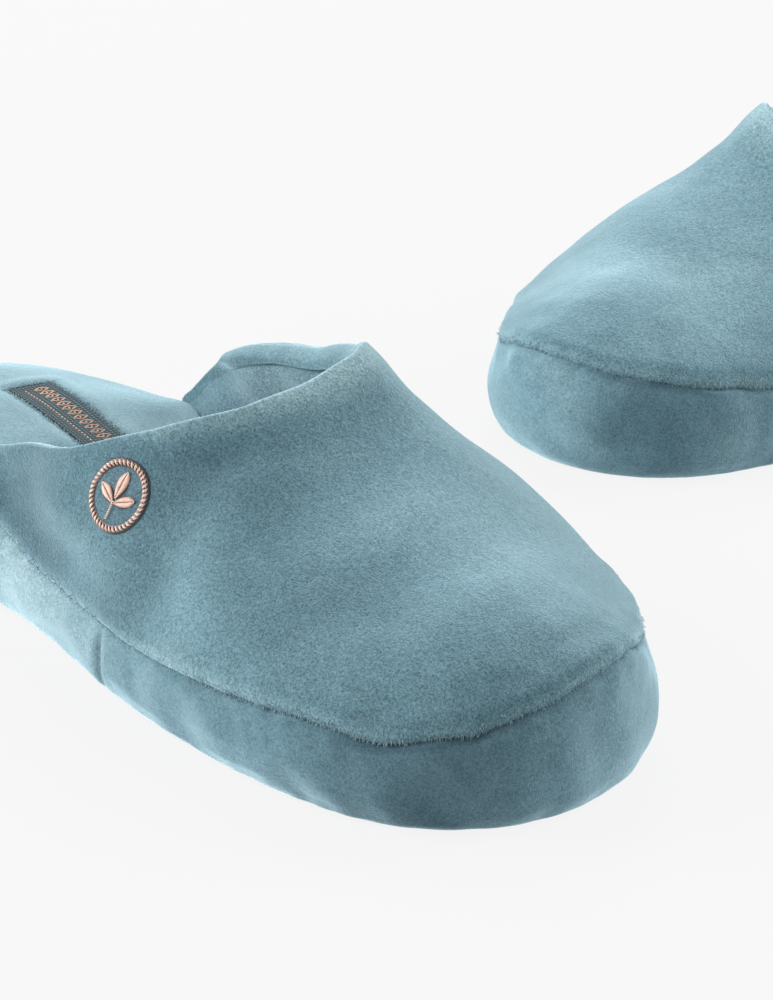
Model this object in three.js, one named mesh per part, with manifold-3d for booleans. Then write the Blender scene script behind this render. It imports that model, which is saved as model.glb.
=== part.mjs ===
// A pair of closed-toe, open-heel plush spa slippers on a padded platform sole.
// Each slipper is modelled in its own frame: x from heel to toe, y towards the
// inner (medial) side of the foot, z up, resting on z = 0. The left slipper is
// the mirror image of the right one. All sizes are in millimetres.
import * as THREE from 'three';
import Module from 'manifold-3d';

const wasm = await Module();
wasm.setup();

// ---------------------------------------------------------------- dimensions
// foot-bed plan outline, anticlockwise from the back of the heel
const OUTLINE = [
  [-2.3, 0], [3, -14.9], [14.5, -25.7], [29.3, -31.3], [45.1, -33.1], [61.1, -33.3], [77, -33.8],
  [92.8, -35.2], [108.6, -37.8], [124.1, -41.4], [139.6, -45.2], [155.2, -48.4], [170.9, -50.8],
  [186.8, -52], [202.7, -52.1], [218.6, -50.9], [234.2, -47.7], [248.2, -40.4], [258.8, -28.6],
  [264.6, -13.8], [265, 2.1], [260.6, 17.3], [251.3, 30.2], [239.6, 41], [227, 50.7], [212.6, 57.3],
  [196.9, 59.7], [181, 58.7], [165.4, 55.2], [150.1, 50.9], [134.6, 47.4], [118.8, 45.2],
  [102.9, 43.9], [87, 43.1], [71.1, 42.2], [55.2, 40.9], [39.5, 38.5], [24.1, 34.4], [9.7, 27.8],
  [-0.2, 15.6],
];
const GAP = 0.3;              // running gap between touching pieces
const PLY_GAP = 0.45;         // gap between the curved plies of the upper
const FLEX_X = 160;           // ball line where the sole bends
const FLEX_Z = 27;            // height of the bending axis, just over the foot-bed
const KERF = 0.4;             // slit between the two sole halves
const SIDE_SEAM_X = 139;      // upright joins of the wall covers
const OUTSOLE_T = 2.5;        // tread sheet
const COVER_T = 2.2;          // plush wall cover
const SHELL_T = 2.0;          // plush outer of the upper
const PAD_T = 2.5;            // foam between outer and lining
const LINING_T = 1.5;         // plush lining
const SOCK_T = 1.8;           // plush top sheet of the foot-bed
const TURN_IN = 8;            // depth of the outer turned in over the topline
const SPLIT_X = 166;          // front end of the two quarters
const SPLIT_E = 0.5;          // width share of the throat left on the vamp
const BADGE = { x: 136.5, e: -0.885, ring: 9.3, cord: 0.9, base: 7.9 };
const LABEL = { x: 64.9, y: 6, length: 49, width: 13, turn: -12.1, t: 0.5 };
// placement of the two slippers on the floor
const PAIR = {
  right: { heel: [0, 0], heading: 0 },
  left: { heel: [131.8, 402.7], heading: 262.72 },
};

// height of the seam between wall and upper
const SEAM_Z = [[-3, 26.2], [30, 28.6], [60, 29.6], [87, 23.8], [110, 18.6], [150, 18.2], [185, 20], [215, 22.4], [240, 25], [255, 28], [266, 32]];
// middle height of the foot-bed surface and how far it drops at its edge
const BED_Z = [[-3, 35], [25, 37], [60, 37.8], [95, 32.5], [130, 26.6], [160, 24.4], [200, 23], [235, 23], [258, 25]];
const BED_DROP = [[-3, 3.2], [60, 3.2], [105, 0.8], [258, 0.8]];
// floor of the recess in the platform
const RECESS_Z = [[-3, 40], [62, 40], [87, 23.2], [110, 17.6], [140, 16], [180, 15.5], [230, 15.5], [258, 17]];
// crown of the upper over the seam, its squareness and its offset to the inner side
const CROWN = [[60, 88.8], [100, 86.8], [130, 77.4], [162, 55.3], [180, 41.6], [200, 33], [220, 24.6], [238, 21], [250, 19], [273, 14.4]];
const SQUARE = [[120, 1.74], [180, 1.89], [240, 1.69]];
const OFFSET = [[120, 15.5], [180, 19.9], [240, 2]];
// topline: distance from the heel against the share of the width, -1 outer to +1 inner side
const TOPLINE = [
  [-0.985, 74.8], [-0.93, 90.4], [-0.84, 119.9], [-0.7, 141.5], [-0.45, 155.4], [-0.2, 159.7], [0, 158.6],
  [0.2, 155.4], [0.45, 149.6], [0.7, 131], [0.84, 101.4], [0.93, 85.3], [0.985, 72.7],
];
const WALL = { // bulge of the wall cover: share of its height, outward offset
  out: [[0, -0.4], [0.22, 1.9], [0.65, 2.5], [1, 0.3]],
  in: [[1, -1.9], [0, -2.6]],
};

// ---------------------------------------------------------------- curves
function table(knots) { // smooth curve through [x, value] knots
  const n = knots.length;
  const m = knots.map((k, i) => {
    if (i === 0 || i === n - 1) return 0;
    const a = (k[1] - knots[i - 1][1]) / (k[0] - knots[i - 1][0]);
    const b = (knots[i + 1][1] - k[1]) / (knots[i + 1][0] - k[0]);
    return a * b <= 0 ? 0 : (2 * a * b) / (a + b);
  });
  return (x) => {
    if (x <= knots[0][0]) return knots[0][1];
    if (x >= knots[n - 1][0]) return knots[n - 1][1];
    let i = 0;
    while (x > knots[i + 1][0]) i++;
    const h = knots[i + 1][0] - knots[i][0];
    const t = (x - knots[i][0]) / h;
    const t2 = t * t;
    const t3 = t2 * t;
    return (2 * t3 - 3 * t2 + 1) * knots[i][1] + (t3 - 2 * t2 + t) * h * m[i]
      + (3 * t2 - 2 * t3) * knots[i + 1][1] + (t3 - t2) * h * m[i + 1];
  };
}
const seamZ = table(SEAM_Z);
const bedZ = table(BED_Z);
const bedDrop = table(BED_DROP);
const recess = table(RECESS_Z);
const crown = table(CROWN);
const square = table(SQUARE);
const offset = table(OFFSET);
const toplineX = table(TOPLINE);

const planCurve = new THREE.CatmullRomCurve3(
  OUTLINE.map(([x, y]) => new THREE.Vector3(x, y, 0)), true, 'centripetal');
const DENSE = 720;
const plan = planCurve.getSpacedPoints(DENSE).slice(0, DENSE);
const normals = plan.map((p, i) => {
  const a = plan[(i + DENSE - 1) % DENSE];
  const b = plan[(i + 1) % DENSE];
  return new THREE.Vector3(b.y - a.y, a.x - b.x, 0).normalize();
});

const sideCache = new Map();
function sides(inset) { // the outline moved inwards, as an outer and an inner side over x
  const key = inset.toFixed(3);
  if (sideCache.has(key)) return sideCache.get(key);
  const p = plan.map((q, i) => [q.x - inset * normals[i].x, q.y - inset * normals[i].y]);
  let heel = 0;
  let toe = 0;
  p.forEach((q, i) => { if (q[0] < p[heel][0]) heel = i; if (q[0] > p[toe][0]) toe = i; });
  const walk = (step) => {
    const out = [p[heel]];
    for (let i = heel; i !== toe; i = (i + step + DENSE) % DENSE) {
      const q = p[(i + step + DENSE) % DENSE];
      if (q[0] > out[out.length - 1][0] + 1e-6) out.push(q);
    }
    return out;
  };
  const at = (line) => (x) => {
    if (x <= line[0][0]) return line[0][1];
    if (x >= line[line.length - 1][0]) return line[line.length - 1][1];
    let lo = 0;
    let hi = line.length - 1;
    while (hi - lo > 1) { const m = (lo + hi) >> 1; if (line[m][0] <= x) lo = m; else hi = m; }
    const t = (x - line[lo][0]) / (line[hi][0] - line[lo][0]);
    return line[lo][1] + t * (line[hi][1] - line[lo][1]);
  };
  const result = { heel: p[heel], toe: p[toe], outer: at(walk(1)), inner: at(walk(-1)) };
  sideCache.set(key, result);
  return result;
}
const smooth = (t) => { const u = Math.min(1, Math.max(0, t)); return u * u * (3 - 2 * u); };

// ---------------------------------------------------------------- mesh helpers
class Solid {
  constructor() { this.v = []; this.f = []; }
  point(x, y, z) { this.v.push(x, y, z); return this.v.length / 3 - 1; }
  tri(a, b, c) { if (a !== b && b !== c && a !== c) this.f.push(a, b, c); }
  quad(a, b, c, d) { this.tri(a, b, c); this.tri(a, c, d); }
  cap(ids, flat, increasing) { // closes a loop of points given flat coordinates for it
    const faces = THREE.ShapeUtils.triangulateShape(flat.map(([u, w]) => new THREE.Vector2(u, w)), []);
    const n = ids.length;
    let rising = null;
    for (const f of faces) {
      for (let k = 0; k < 3 && rising === null; k++) {
        if ((f[k] + 1) % n === f[(k + 1) % 3]) rising = true;
        else if ((f[(k + 1) % 3] + 1) % n === f[k]) rising = false;
      }
    }
    for (const f of faces) {
      if (rising === increasing) this.tri(ids[f[0]], ids[f[1]], ids[f[2]]);
      else this.tri(ids[f[0]], ids[f[2]], ids[f[1]]);
    }
  }
  geometry() {
    const g = new THREE.BufferGeometry();
    g.setAttribute('position', new THREE.Float32BufferAttribute(this.v, 3));
    let volume = 0;
    const p = (i) => new THREE.Vector3(this.v[3 * i], this.v[3 * i + 1], this.v[3 * i + 2]);
    for (let i = 0; i < this.f.length; i += 3) {
      volume += p(this.f[i]).dot(p(this.f[i + 1]).cross(p(this.f[i + 2])));
    }
    const f = this.f.slice();
    if (volume < 0) for (let i = 0; i < f.length; i += 3) { const t = f[i + 1]; f[i + 1] = f[i + 2]; f[i + 2] = t; }
    g.setIndex(f);
    g.computeVertexNormals();
    return g;
  }
}

// A sheet or block over the plan outline between two heights. Its ends are the
// rounded heel and toe, or flat cuts across the slipper.
function slab({ heelInset, toeInset, blend = [0, 1], from = null, to = null, first = null, last = null, columns, bottom, top, n }) {
  const a = sides(heelInset);
  const b = sides(toeInset);
  const mix = (x) => smooth((x - blend[0]) / (blend[1] - blend[0]));
  const outer = (x) => a.outer(x) + mix(x) * (b.outer(x) - a.outer(x));
  const inner = (x) => a.inner(x) + mix(x) * (b.inner(x) - a.inner(x));
  const x0 = from === null ? a.heel[0] : from;
  const x1 = to === null ? b.toe[0] : to;
  const s = new Solid();
  const rows = [];
  for (let i = 0; i <= n; i++) {
    const t = i / n;
    let u = t;
    if (from === null && to === null) u = (1 - Math.cos(Math.PI * t)) / 2;
    else if (from === null) u = 1 - Math.cos((Math.PI / 2) * t);
    else if (to === null) u = Math.sin((Math.PI / 2) * t);
    let x = x0 + (x1 - x0) * u;
    if (i === 0 && first !== null) x = first;
    if (i === n && last !== null) x = last;
    const tip = (i === 0 && from === null) ? a.heel : (i === n && to === null) ? b.toe : null;
    const row = { up: [], down: [] };
    if (tip) {
      const up = s.point(x, tip[1], top(x, 1, 0));
      const down = s.point(x, tip[1], bottom(x, 1, 0));
      columns.forEach(() => { row.up.push(up); row.down.push(down); });
    } else {
      const y0 = outer(x);
      const y1 = inner(x);
      columns.forEach((c) => { // a column is a share of the width, or [side, distance from the edge]
        let y;
        let d;
        if (Array.isArray(c)) {
          d = Math.min(c[1], Math.abs(c[0]) * (y1 - y0) * 0.4 * (c[1] / 8));
          y = c[0] < 0 ? y0 + d : y1 - d;
        } else { y = (y0 + y1) / 2 + (c * (y1 - y0)) / 2; d = (1 - Math.abs(c)) * (y1 - y0) / 2; }
        const share = (2 * (y - y0)) / (y1 - y0) - 1;
        row.up.push(s.point(x, y, top(x, share, d)));
        row.down.push(s.point(x, y, bottom(x, share, d)));
      });
    }
    rows.push(row);
  }
  const m = columns.length;
  for (let i = 0; i < n; i++) {
    const p = rows[i];
    const q = rows[i + 1];
    for (let j = 0; j + 1 < m; j++) {
      s.quad(p.up[j], q.up[j], q.up[j + 1], p.up[j + 1]);
      s.quad(p.down[j], p.down[j + 1], q.down[j + 1], q.down[j]);
    }
    s.quad(p.down[0], q.down[0], q.up[0], p.up[0]);
    s.quad(q.down[m - 1], p.down[m - 1], p.up[m - 1], q.up[m - 1]);
  }
  if (from !== null) for (let j = 0; j + 1 < m; j++) s.quad(rows[0].down[j + 1], rows[0].down[j], rows[0].up[j], rows[0].up[j + 1]);
  if (to !== null) for (let j = 0; j + 1 < m; j++) s.quad(rows[n].down[j], rows[n].down[j + 1], rows[n].up[j + 1], rows[n].up[j]);
  return s.geometry();
}

// A strip of wall cover along the outline between two crossings of it.
function crossing(x, side) { // where the outline passes x, as a share of its length
  let best = 0;
  let gap = 1e9;
  plan.forEach((p, i) => {
    if ((side === 'outer') !== (i < DENSE / 2)) return;
    if (Math.abs(p.x - x) < gap) { gap = Math.abs(p.x - x); best = i; }
  });
  const step = plan[(best + 1) % DENSE].x - plan[best].x;
  return best + (x - plan[best].x) / step;
}
function onPlan(u) {
  const k = ((u % DENSE) + DENSE) % DENSE;
  const i = Math.floor(k);
  const t = k - i;
  const j = (i + 1) % DENSE;
  return {
    p: plan[i].clone().lerp(plan[j], t),
    n: normals[i].clone().lerp(normals[j], t).normalize(),
  };
}
function wallStrip(u0, u1, n) {
  const s = new Solid();
  const loops = [];
  const low = OUTSOLE_T + GAP;
  for (let i = 0; i <= n; i++) {
    const { p, n: nn } = onPlan(u0 + ((u1 - u0) * i) / n);
    const high = seamZ(p.x) - GAP;
    const loop = [];
    const flat = [];
    for (const [share, off] of [...WALL.out, ...WALL.in]) {
      const z = low + share * (high - low);
      loop.push(s.point(p.x + off * nn.x, p.y + off * nn.y, z));
      flat.push([off, z]);
    }
    loops.push({ loop, flat });
  }
  const m = loops[0].loop.length;
  for (let i = 0; i < n; i++) {
    for (let k = 0; k < m; k++) {
      const l = (k + 1) % m;
      s.quad(loops[i].loop[k], loops[i + 1].loop[k], loops[i + 1].loop[l], loops[i].loop[l]);
    }
  }
  s.cap(loops[0].loop, loops[0].flat, true);
  s.cap(loops[n].loop, loops[n].flat, false);
  return s.geometry();
}

// ---------------------------------------------------------------- the upper
// A point of the upper at x, at share e of the width, d inside the outer surface.
function upperPoint(x, e, d) {
  const s = sides(0.3 + d);
  const end = s.toe[0];
  const xx = Math.min(x, end);
  const atTip = xx >= end - 1e-6;
  const y0 = atTip ? s.toe[1] : s.outer(xx);
  const y1 = atTip ? s.toe[1] : s.inner(xx);
  const ridge = (y0 + y1) / 2 + offset(xx) * Math.min(1, Math.max(0, (end - xx) / 40));
  const y = e < 0 ? ridge + e * (ridge - y0) : ridge + e * (y1 - ridge);
  const u = Math.min(1, Math.max(0, (end - xx) / 34));
  const rise = (crown(xx) - d) * Math.sqrt(Math.max(0, 1 - (1 - u) ** 2.2));
  const n = square(xx);
  const z = seamZ(xx) + 2 * GAP + 1.2 * smooth((xx - 240) / 20) + rise * Math.max(0, 1 - Math.abs(e) ** n) ** (1 / n);
  return [xx, y, z];
}
const splitX = (e) => { // joint between the vamp and the quarters
  const a = Math.abs(e);
  if (a <= SPLIT_E) return -1e9;
  const start = toplineX(Math.sign(e) * SPLIT_E);
  return start + (SPLIT_X - start) * Math.min(1, (a - SPLIT_E) / 0.12);
};
const ends = {
  vamp: (e) => {
    const x0 = Math.max(toplineX(e), splitX(e));
    return { x0, x1: null, turn: Math.abs(e) <= SPLIT_E ? TURN_IN : 3, hook: 1.7, crown: Math.abs(e) <= SPLIT_E ? 1.6 : 0 };
  },
  quarter: (e) => {
    const x0 = toplineX(e);
    const x1 = splitX(e) - 1.2;
    return { x0, x1, turn: Math.min(TURN_IN, 0.35 * (x1 - x0)), hook: Math.min(1.7, 0.2 * (x1 - x0)), crown: Math.min(1.6, 0.2 * (x1 - x0)) };
  },
};
const WING_SHARES = [1, 0.988, 0.95, 0.87, 0.76, 0.62];
const VAMP_SHARES = [...WING_SHARES.map((e) => -e), -0.5, -0.25, 0, 0.25, 0.5, ...WING_SHARES.slice().reverse()];
const OUTER_SHARES = [...WING_SHARES.map((e) => -e), -0.55];
const INNER_SHARES = [...WING_SHARES, 0.55];
const D1 = SHELL_T;
const D2 = D1 + PLY_GAP;
const D3 = D2 + PAD_T;
const D4 = D3 + PLY_GAP;
const D5 = D4 + LINING_T;
// One layer of a panel: its loop of [x, depth] points for a column e. All layers
// share their stations, so that nested faces stay apart.
function layerLoop(kind, layer, e, rows) {
  const { x0, x1, turn, hook, crown: over } = ends[kind](e);
  const loop = [];
  const start = x0 + turn + GAP;
  const run = (before, d, forward) => {
    const front = x1 === null ? sides(0.3 + d).toe[0] : x1;
    const list = before.map((x) => [x, d]);
    for (let i = 0; i <= rows; i++) {
      const u = x1 === null ? Math.sin((Math.PI / 2) * (i / rows)) : i / rows;
      list.push([start + (front - start) * u, d]);
    }
    loop.push(...(forward ? list : list.reverse()));
  };
  if (layer === 'outer') {
    run([x0], 0, false);
    loop.push([x0 - over, D5 / 2], [x0, D5], [x0 + turn, D5], [x0 + turn, D4], [x0 + hook, D4]);
    run([x0 + hook], D1, true);
  } else if (layer === 'pad') {
    run([x0 + hook + GAP], D2, false);
    run([x0 + hook + GAP], D3, true);
  } else {
    run([], D4, false);
    run([], D5, true);
  }
  return loop;
}
function panel(kind, layer, shares, rows) {
  const s = new Solid();
  const cols = [];
  const columns = shares.length - 1;
  const tips = new Map();
  for (let j = 0; j <= columns; j++) {
    const e = shares[j];
    const flat = layerLoop(kind, layer, e, rows);
    const ids = flat.map(([x, d]) => {
      if (kind === 'vamp' && x >= sides(0.3 + d).toe[0] - 1e-6) {
        const key = d.toFixed(3);
        if (!tips.has(key)) tips.set(key, s.point(...upperPoint(x, 0, d)));
        return tips.get(key);
      }
      return s.point(...upperPoint(x, e, d));
    });
    cols.push({ ids, flat });
  }
  const m = cols[0].ids.length;
  for (let j = 0; j < columns; j++) {
    for (let k = 0; k < m; k++) {
      const l = (k + 1) % m;
      const [a, b, c, d] = [cols[j].ids[k], cols[j + 1].ids[k], cols[j + 1].ids[l], cols[j].ids[l]];
      if (cols[j].flat[l][0] < cols[j].flat[k][0]) s.quad(b, c, d, a); // same diagonals in every layer
      else s.quad(a, b, c, d);
    }
  }
  for (const [{ ids, flat }, increasing] of [[cols[0], true], [cols[columns], false]]) {
    for (let k = 0; k < rows; k++) { // ladder between the two faces, following the curve of the edge
      const [a, b, c, d] = [ids[k], ids[k + 1], ids[m - 2 - k], ids[m - 1 - k]];
      if (increasing) s.quad(a, b, c, d);
      else s.quad(d, c, b, a);
    }
    s.cap(ids.slice(rows, m - rows), flat.slice(rows, m - rows), increasing);
  }
  return s.geometry();
}

function solidOf(g) {
  return new wasm.Manifold(new wasm.Mesh({
    numProp: 3,
    vertProperties: new Float32Array(g.getAttribute('position').array),
    triVerts: new Uint32Array(g.index.array),
  }));
}
function cut(g, tool) { // the first solid with the second cut away
  const mesh = solidOf(g).subtract(solidOf(tool)).getMesh();
  const out = new THREE.BufferGeometry();
  out.setAttribute('position', new THREE.Float32BufferAttribute(mesh.vertProperties, 3));
  out.setIndex(Array.from(mesh.triVerts));
  out.computeVertexNormals();
  return out;
}

// ---------------------------------------------------------------- the foot-bed
const bedTop = (x, share) => bedZ(x) - bedDrop(x) * Math.abs(share) ** 3;
const bedBlend = [56, 68];
const BED_HEEL_INSET = 1.6;
const BED_TOE_INSET = 0.3 + D5 + 2.2;
const RECESS_INSET = BED_TOE_INSET - 0.4;
const bedColumns = [-1, -0.62, 0, 0.62, 1];
const bedBottom = (x) => {
  const floor = Math.min(seamZ(x) - GAP, recess(x));
  return floor + (x > 75 && x < 105 ? 0.9 : 0.5);
};
const rearTo = FLEX_X - KERF / 2;
const frontFrom = FLEX_X + KERF / 2;

function footbed(part) {
  const shape = { heelInset: BED_HEEL_INSET, toeInset: BED_TOE_INSET, blend: bedBlend, columns: bedColumns };
  const ranges = { rear: { from: null, to: rearTo, n: 12 }, front: { from: frontFrom, to: null, n: 8 } };
  return {
    foam: () => slab({ ...shape, ...ranges[part], bottom: (x) => bedBottom(x), top: (x, share) => bedTop(x, share) - SOCK_T - GAP }),
    sock: () => slab({ ...shape, ...ranges[part], bottom: (x, share) => bedTop(x, share) - SOCK_T, top: bedTop }),
  };
}
function platform(part) { // foam block with a recess that holds the foot-bed
  const ranges = { rear: { from: null, to: rearTo, n: 12 }, front: { from: frontFrom, to: null, n: 8 } };
  const block = slab({
    heelInset: 3.2, toeInset: 3.2, columns: [-1, 0, 1], ...ranges[part],
    bottom: () => OUTSOLE_T + GAP, top: (x) => seamZ(x) - GAP,
  });
  const reach = part === 'rear' ? { last: FLEX_X + 4 } : { first: FLEX_X - 4 };
  const tool = slab({
    heelInset: RECESS_INSET, toeInset: RECESS_INSET, columns: [-1, 0, 1], ...ranges[part], ...reach,
    bottom: (x) => recess(x), top: () => 60,
  });
  return cut(block, tool);
}
function outsole(part) {
  const ranges = { rear: { from: null, to: rearTo, n: 11 }, front: { from: frontFrom, to: null, n: 9 } };
  return slab({ heelInset: 0.6, toeInset: 0.6, columns: [-1, 1], ...ranges[part], bottom: () => 0, top: () => OUTSOLE_T });
}
function wovenLabel() {
  const s = new Solid();
  const nx = 6;
  const ny = 2;
  const turn = THREE.MathUtils.degToRad(LABEL.turn);
  const side = (x) => { const q = sides(BED_HEEL_INSET); return [q.outer(x), q.inner(x)]; };
  const up = [];
  const down = [];
  for (let i = 0; i <= nx; i++) {
    for (let j = 0; j <= ny; j++) {
      const a = (i / nx - 0.5) * LABEL.length;
      const b = (j / ny - 0.5) * LABEL.width;
      const x = LABEL.x + a * Math.cos(turn) - b * Math.sin(turn);
      const y = LABEL.y + a * Math.sin(turn) + b * Math.cos(turn);
      const [y0, y1] = side(x);
      const z = bedTop(x, (2 * (y - y0)) / (y1 - y0) - 1) + 0.5;
      up.push(s.point(x, y, z + LABEL.t));
      down.push(s.point(x, y, z));
    }
  }
  const id = (i, j) => i * (ny + 1) + j;
  for (let i = 0; i < nx; i++) {
    for (let j = 0; j < ny; j++) {
      s.quad(up[id(i, j)], up[id(i + 1, j)], up[id(i + 1, j + 1)], up[id(i, j + 1)]);
      s.quad(down[id(i, j)], down[id(i, j + 1)], down[id(i + 1, j + 1)], down[id(i + 1, j)]);
    }
    s.quad(down[id(i, 0)], down[id(i + 1, 0)], up[id(i + 1, 0)], up[id(i, 0)]);
    s.quad(down[id(i + 1, ny)], down[id(i, ny)], up[id(i, ny)], up[id(i + 1, ny)]);
  }
  for (let j = 0; j < ny; j++) {
    s.quad(down[id(0, j + 1)], down[id(0, j)], up[id(0, j)], up[id(0, j + 1)]);
    s.quad(down[id(nx, j)], down[id(nx, j + 1)], up[id(nx, j + 1)], up[id(nx, j)]);
  }
  return s.geometry();
}

// ---------------------------------------------------------------- the badge
function badgeFrame() {
  const P = (x, e) => new THREE.Vector3(...upperPoint(x, e, 0));
  const c = P(BADGE.x, BADGE.e);
  const tx = P(BADGE.x + 4, BADGE.e).sub(P(BADGE.x - 4, BADGE.e)).normalize();
  const te = P(BADGE.x, BADGE.e + 0.04).sub(P(BADGE.x, BADGE.e - 0.04)).normalize();
  const n = tx.clone().cross(te).normalize();
  if (n.y > 0) n.negate();
  const up = n.clone().cross(tx).normalize();
  if (up.z < 0) up.negate();
  const right = up.clone().cross(n).normalize();
  return { c, right, up, n };
}
const BADGE_LIFT = 1.1;
function badgePiece(geometry, lift) {
  const { c, right, up, n } = badgeFrame();
  const m = new THREE.Matrix4().makeBasis(right, up, n);
  m.setPosition(c.clone().addScaledVector(n, lift));
  return geometry.clone().applyMatrix4(m);
}
function badgeBase() {
  const g = new THREE.CylinderGeometry(BADGE.base, BADGE.base, 0.5, 20);
  g.rotateX(Math.PI / 2);
  return badgePiece(g, BADGE_LIFT + 0.25);
}
function badgeRing() {
  const profile = [];
  const k = 6;
  for (let i = 0; i <= k; i++) {
    const a = (2 * Math.PI * i) / k;
    profile.push(new THREE.Vector2(BADGE.ring + BADGE.cord * Math.cos(a), BADGE.cord * Math.sin(a)));
  }
  profile[k] = profile[0].clone();
  const g = new THREE.LatheGeometry(profile, 24);
  g.rotateX(Math.PI / 2);
  return badgePiece(g, BADGE_LIFT + BADGE.cord - 0.2);
}
function badgeMotif() { // a sprig with three leaves
  const shape = new THREE.Shape();
  shape.moveTo(-0.35, -5.6);
  shape.lineTo(0.35, -5.6);
  shape.lineTo(0.45, -2.6);
  shape.bezierCurveTo(2.2, -3.4, 4.9, -2.4, 5.7, 0.9);
  shape.bezierCurveTo(3.2, 1.1, 1.2, 0.2, 0.6, -1.2);
  shape.lineTo(0.55, -0.6);
  shape.bezierCurveTo(2.4, 0.9, 2.3, 3.6, 0, 5.9);
  shape.bezierCurveTo(-2.3, 3.6, -2.4, 0.9, -0.55, -0.6);
  shape.lineTo(-0.6, -1.2);
  shape.bezierCurveTo(-1.2, 0.2, -3.2, 1.1, -5.7, 0.9);
  shape.bezierCurveTo(-4.9, -2.4, -2.2, -3.4, -0.45, -2.6);
  shape.closePath();
  const g = new THREE.ExtrudeGeometry(shape, { depth: 0.7, bevelEnabled: false, curveSegments: 3 });
  return badgePiece(g, BADGE_LIFT + 0.5 + GAP);
}

// ---------------------------------------------------------------- assembly
const PLUSH = { color: 0x7fa3b0, roughness: 0.95, metalness: 0 };
const finish = {
  plush: PLUSH,
  lining: { color: 0x8fb0ba, roughness: 0.95, metalness: 0 },
  sock: { color: 0x9dbcc5, roughness: 0.95, metalness: 0 },
  foam: { color: 0xe6e2d8, roughness: 0.9, metalness: 0 },
  platform: { color: 0xd9d6ce, roughness: 0.85, metalness: 0 },
  tread: { color: 0x3e545e, roughness: 0.8, metalness: 0 },
  label: { color: 0x46606a, roughness: 0.8, metalness: 0 },
  thread: { color: 0xe2b7a3, roughness: 0.45, metalness: 0 },
  backing: { color: 0x4f7584, roughness: 0.9, metalness: 0 },
};
function mirrored(g) {
  const out = g.index ? g.clone() : g.clone();
  const p = out.getAttribute('position');
  for (let i = 0; i < p.count; i++) p.setY(i, -p.getY(i));
  if (out.index) {
    const ix = out.index;
    for (let i = 0; i < ix.count; i += 3) { const t = ix.getX(i + 1); ix.setX(i + 1, ix.getX(i + 2)); ix.setX(i + 2, t); }
  } else {
    for (let i = 0; i < p.count; i += 3) {
      const b = [p.getX(i + 1), p.getY(i + 1), p.getZ(i + 1)];
      p.setXYZ(i + 1, p.getX(i + 2), p.getY(i + 2), p.getZ(i + 2));
      p.setXYZ(i + 2, ...b);
    }
  }
  out.computeVertexNormals();
  return out;
}
const uOuterSeam = crossing(SIDE_SEAM_X, 'outer');
const uInnerSeam = crossing(SIDE_SEAM_X, 'inner');
const uOuterFlex = crossing(FLEX_X, 'outer');
const uInnerFlex = crossing(FLEX_X, 'inner');
const kerfU = (KERF / 2) * (DENSE / planCurve.getLength());
const seamGapU = (GAP / 2) * (DENSE / planCurve.getLength());
const pieces = [
  ['outsole_rear', () => outsole('rear'), 'tread'],
  ['outsole_front', () => outsole('front'), 'tread'],
  ['platform_rear', () => platform('rear'), 'platform'],
  ['platform_front', () => platform('front'), 'platform'],
  ['footbed_foam_rear', () => footbed('rear').foam(), 'foam'],
  ['footbed_foam_front', () => footbed('front').foam(), 'foam'],
  ['footbed_sock_rear', () => footbed('rear').sock(), 'sock'],
  ['footbed_sock_front', () => footbed('front').sock(), 'sock'],
  ['toe_wall_cover', () => wallStrip(uOuterFlex + kerfU * 1.1, uInnerFlex - kerfU * 1.1, 26), 'plush'],
  ['outer_wall_cover', () => wallStrip(uOuterSeam + seamGapU, uOuterFlex - kerfU * 1.1, 3), 'plush'],
  ['inner_wall_cover', () => wallStrip(uInnerFlex + kerfU * 1.1, uInnerSeam - seamGapU, 3), 'plush'],
  ['heel_wall_cover', () => wallStrip(uInnerSeam + seamGapU, uOuterSeam + DENSE - seamGapU, 28), 'plush'],
  ['vamp_outer', () => panel('vamp', 'outer', VAMP_SHARES, 6), 'plush'],
  ['vamp_padding', () => panel('vamp', 'pad', VAMP_SHARES, 6), 'foam'],
  ['vamp_lining', () => panel('vamp', 'lining', VAMP_SHARES, 6), 'lining'],
  ['outer_quarter_outer', () => panel('quarter', 'outer', OUTER_SHARES, 3), 'plush'],
  ['outer_quarter_padding', () => panel('quarter', 'pad', OUTER_SHARES, 3), 'foam'],
  ['outer_quarter_lining', () => panel('quarter', 'lining', OUTER_SHARES, 3), 'lining'],
  ['inner_quarter_outer', () => panel('quarter', 'outer', INNER_SHARES, 3), 'plush'],
  ['inner_quarter_padding', () => panel('quarter', 'pad', INNER_SHARES, 3), 'foam'],
  ['inner_quarter_lining', () => panel('quarter', 'lining', INNER_SHARES, 3), 'lining'],
  ['woven_label', wovenLabel, 'label'],
  ['badge_backing', badgeBase, 'backing'],
  ['badge_ring', badgeRing, 'thread'],
  ['badge_motif', badgeMotif, 'thread'],
];

const slippers = new THREE.Group();
for (const side of ['right', 'left']) {
  const slipper = new THREE.Group();
  const { heel, heading } = PAIR[side];
  slipper.position.set(heel[0], heel[1], 0);
  slipper.rotation.z = THREE.MathUtils.degToRad(heading);
  for (const [name, make, look] of pieces) {
    const g = side === 'right' ? make() : mirrored(make());
    const mesh = new THREE.Mesh(g, new THREE.MeshStandardMaterial(finish[look]));
    mesh.name = `${side}_${name}`;
    slipper.add(mesh);
  }
  slippers.add(slipper);
}
// the origin is on the floor under the middle of the pair
slippers.updateMatrixWorld(true);
const box = new THREE.Box3().setFromObject(slippers, true);
slippers.position.set(-(box.min.x + box.max.x) / 2, -(box.min.y + box.max.y) / 2, 0);
const root = new THREE.Group();
root.add(slippers);
export default root;
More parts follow.
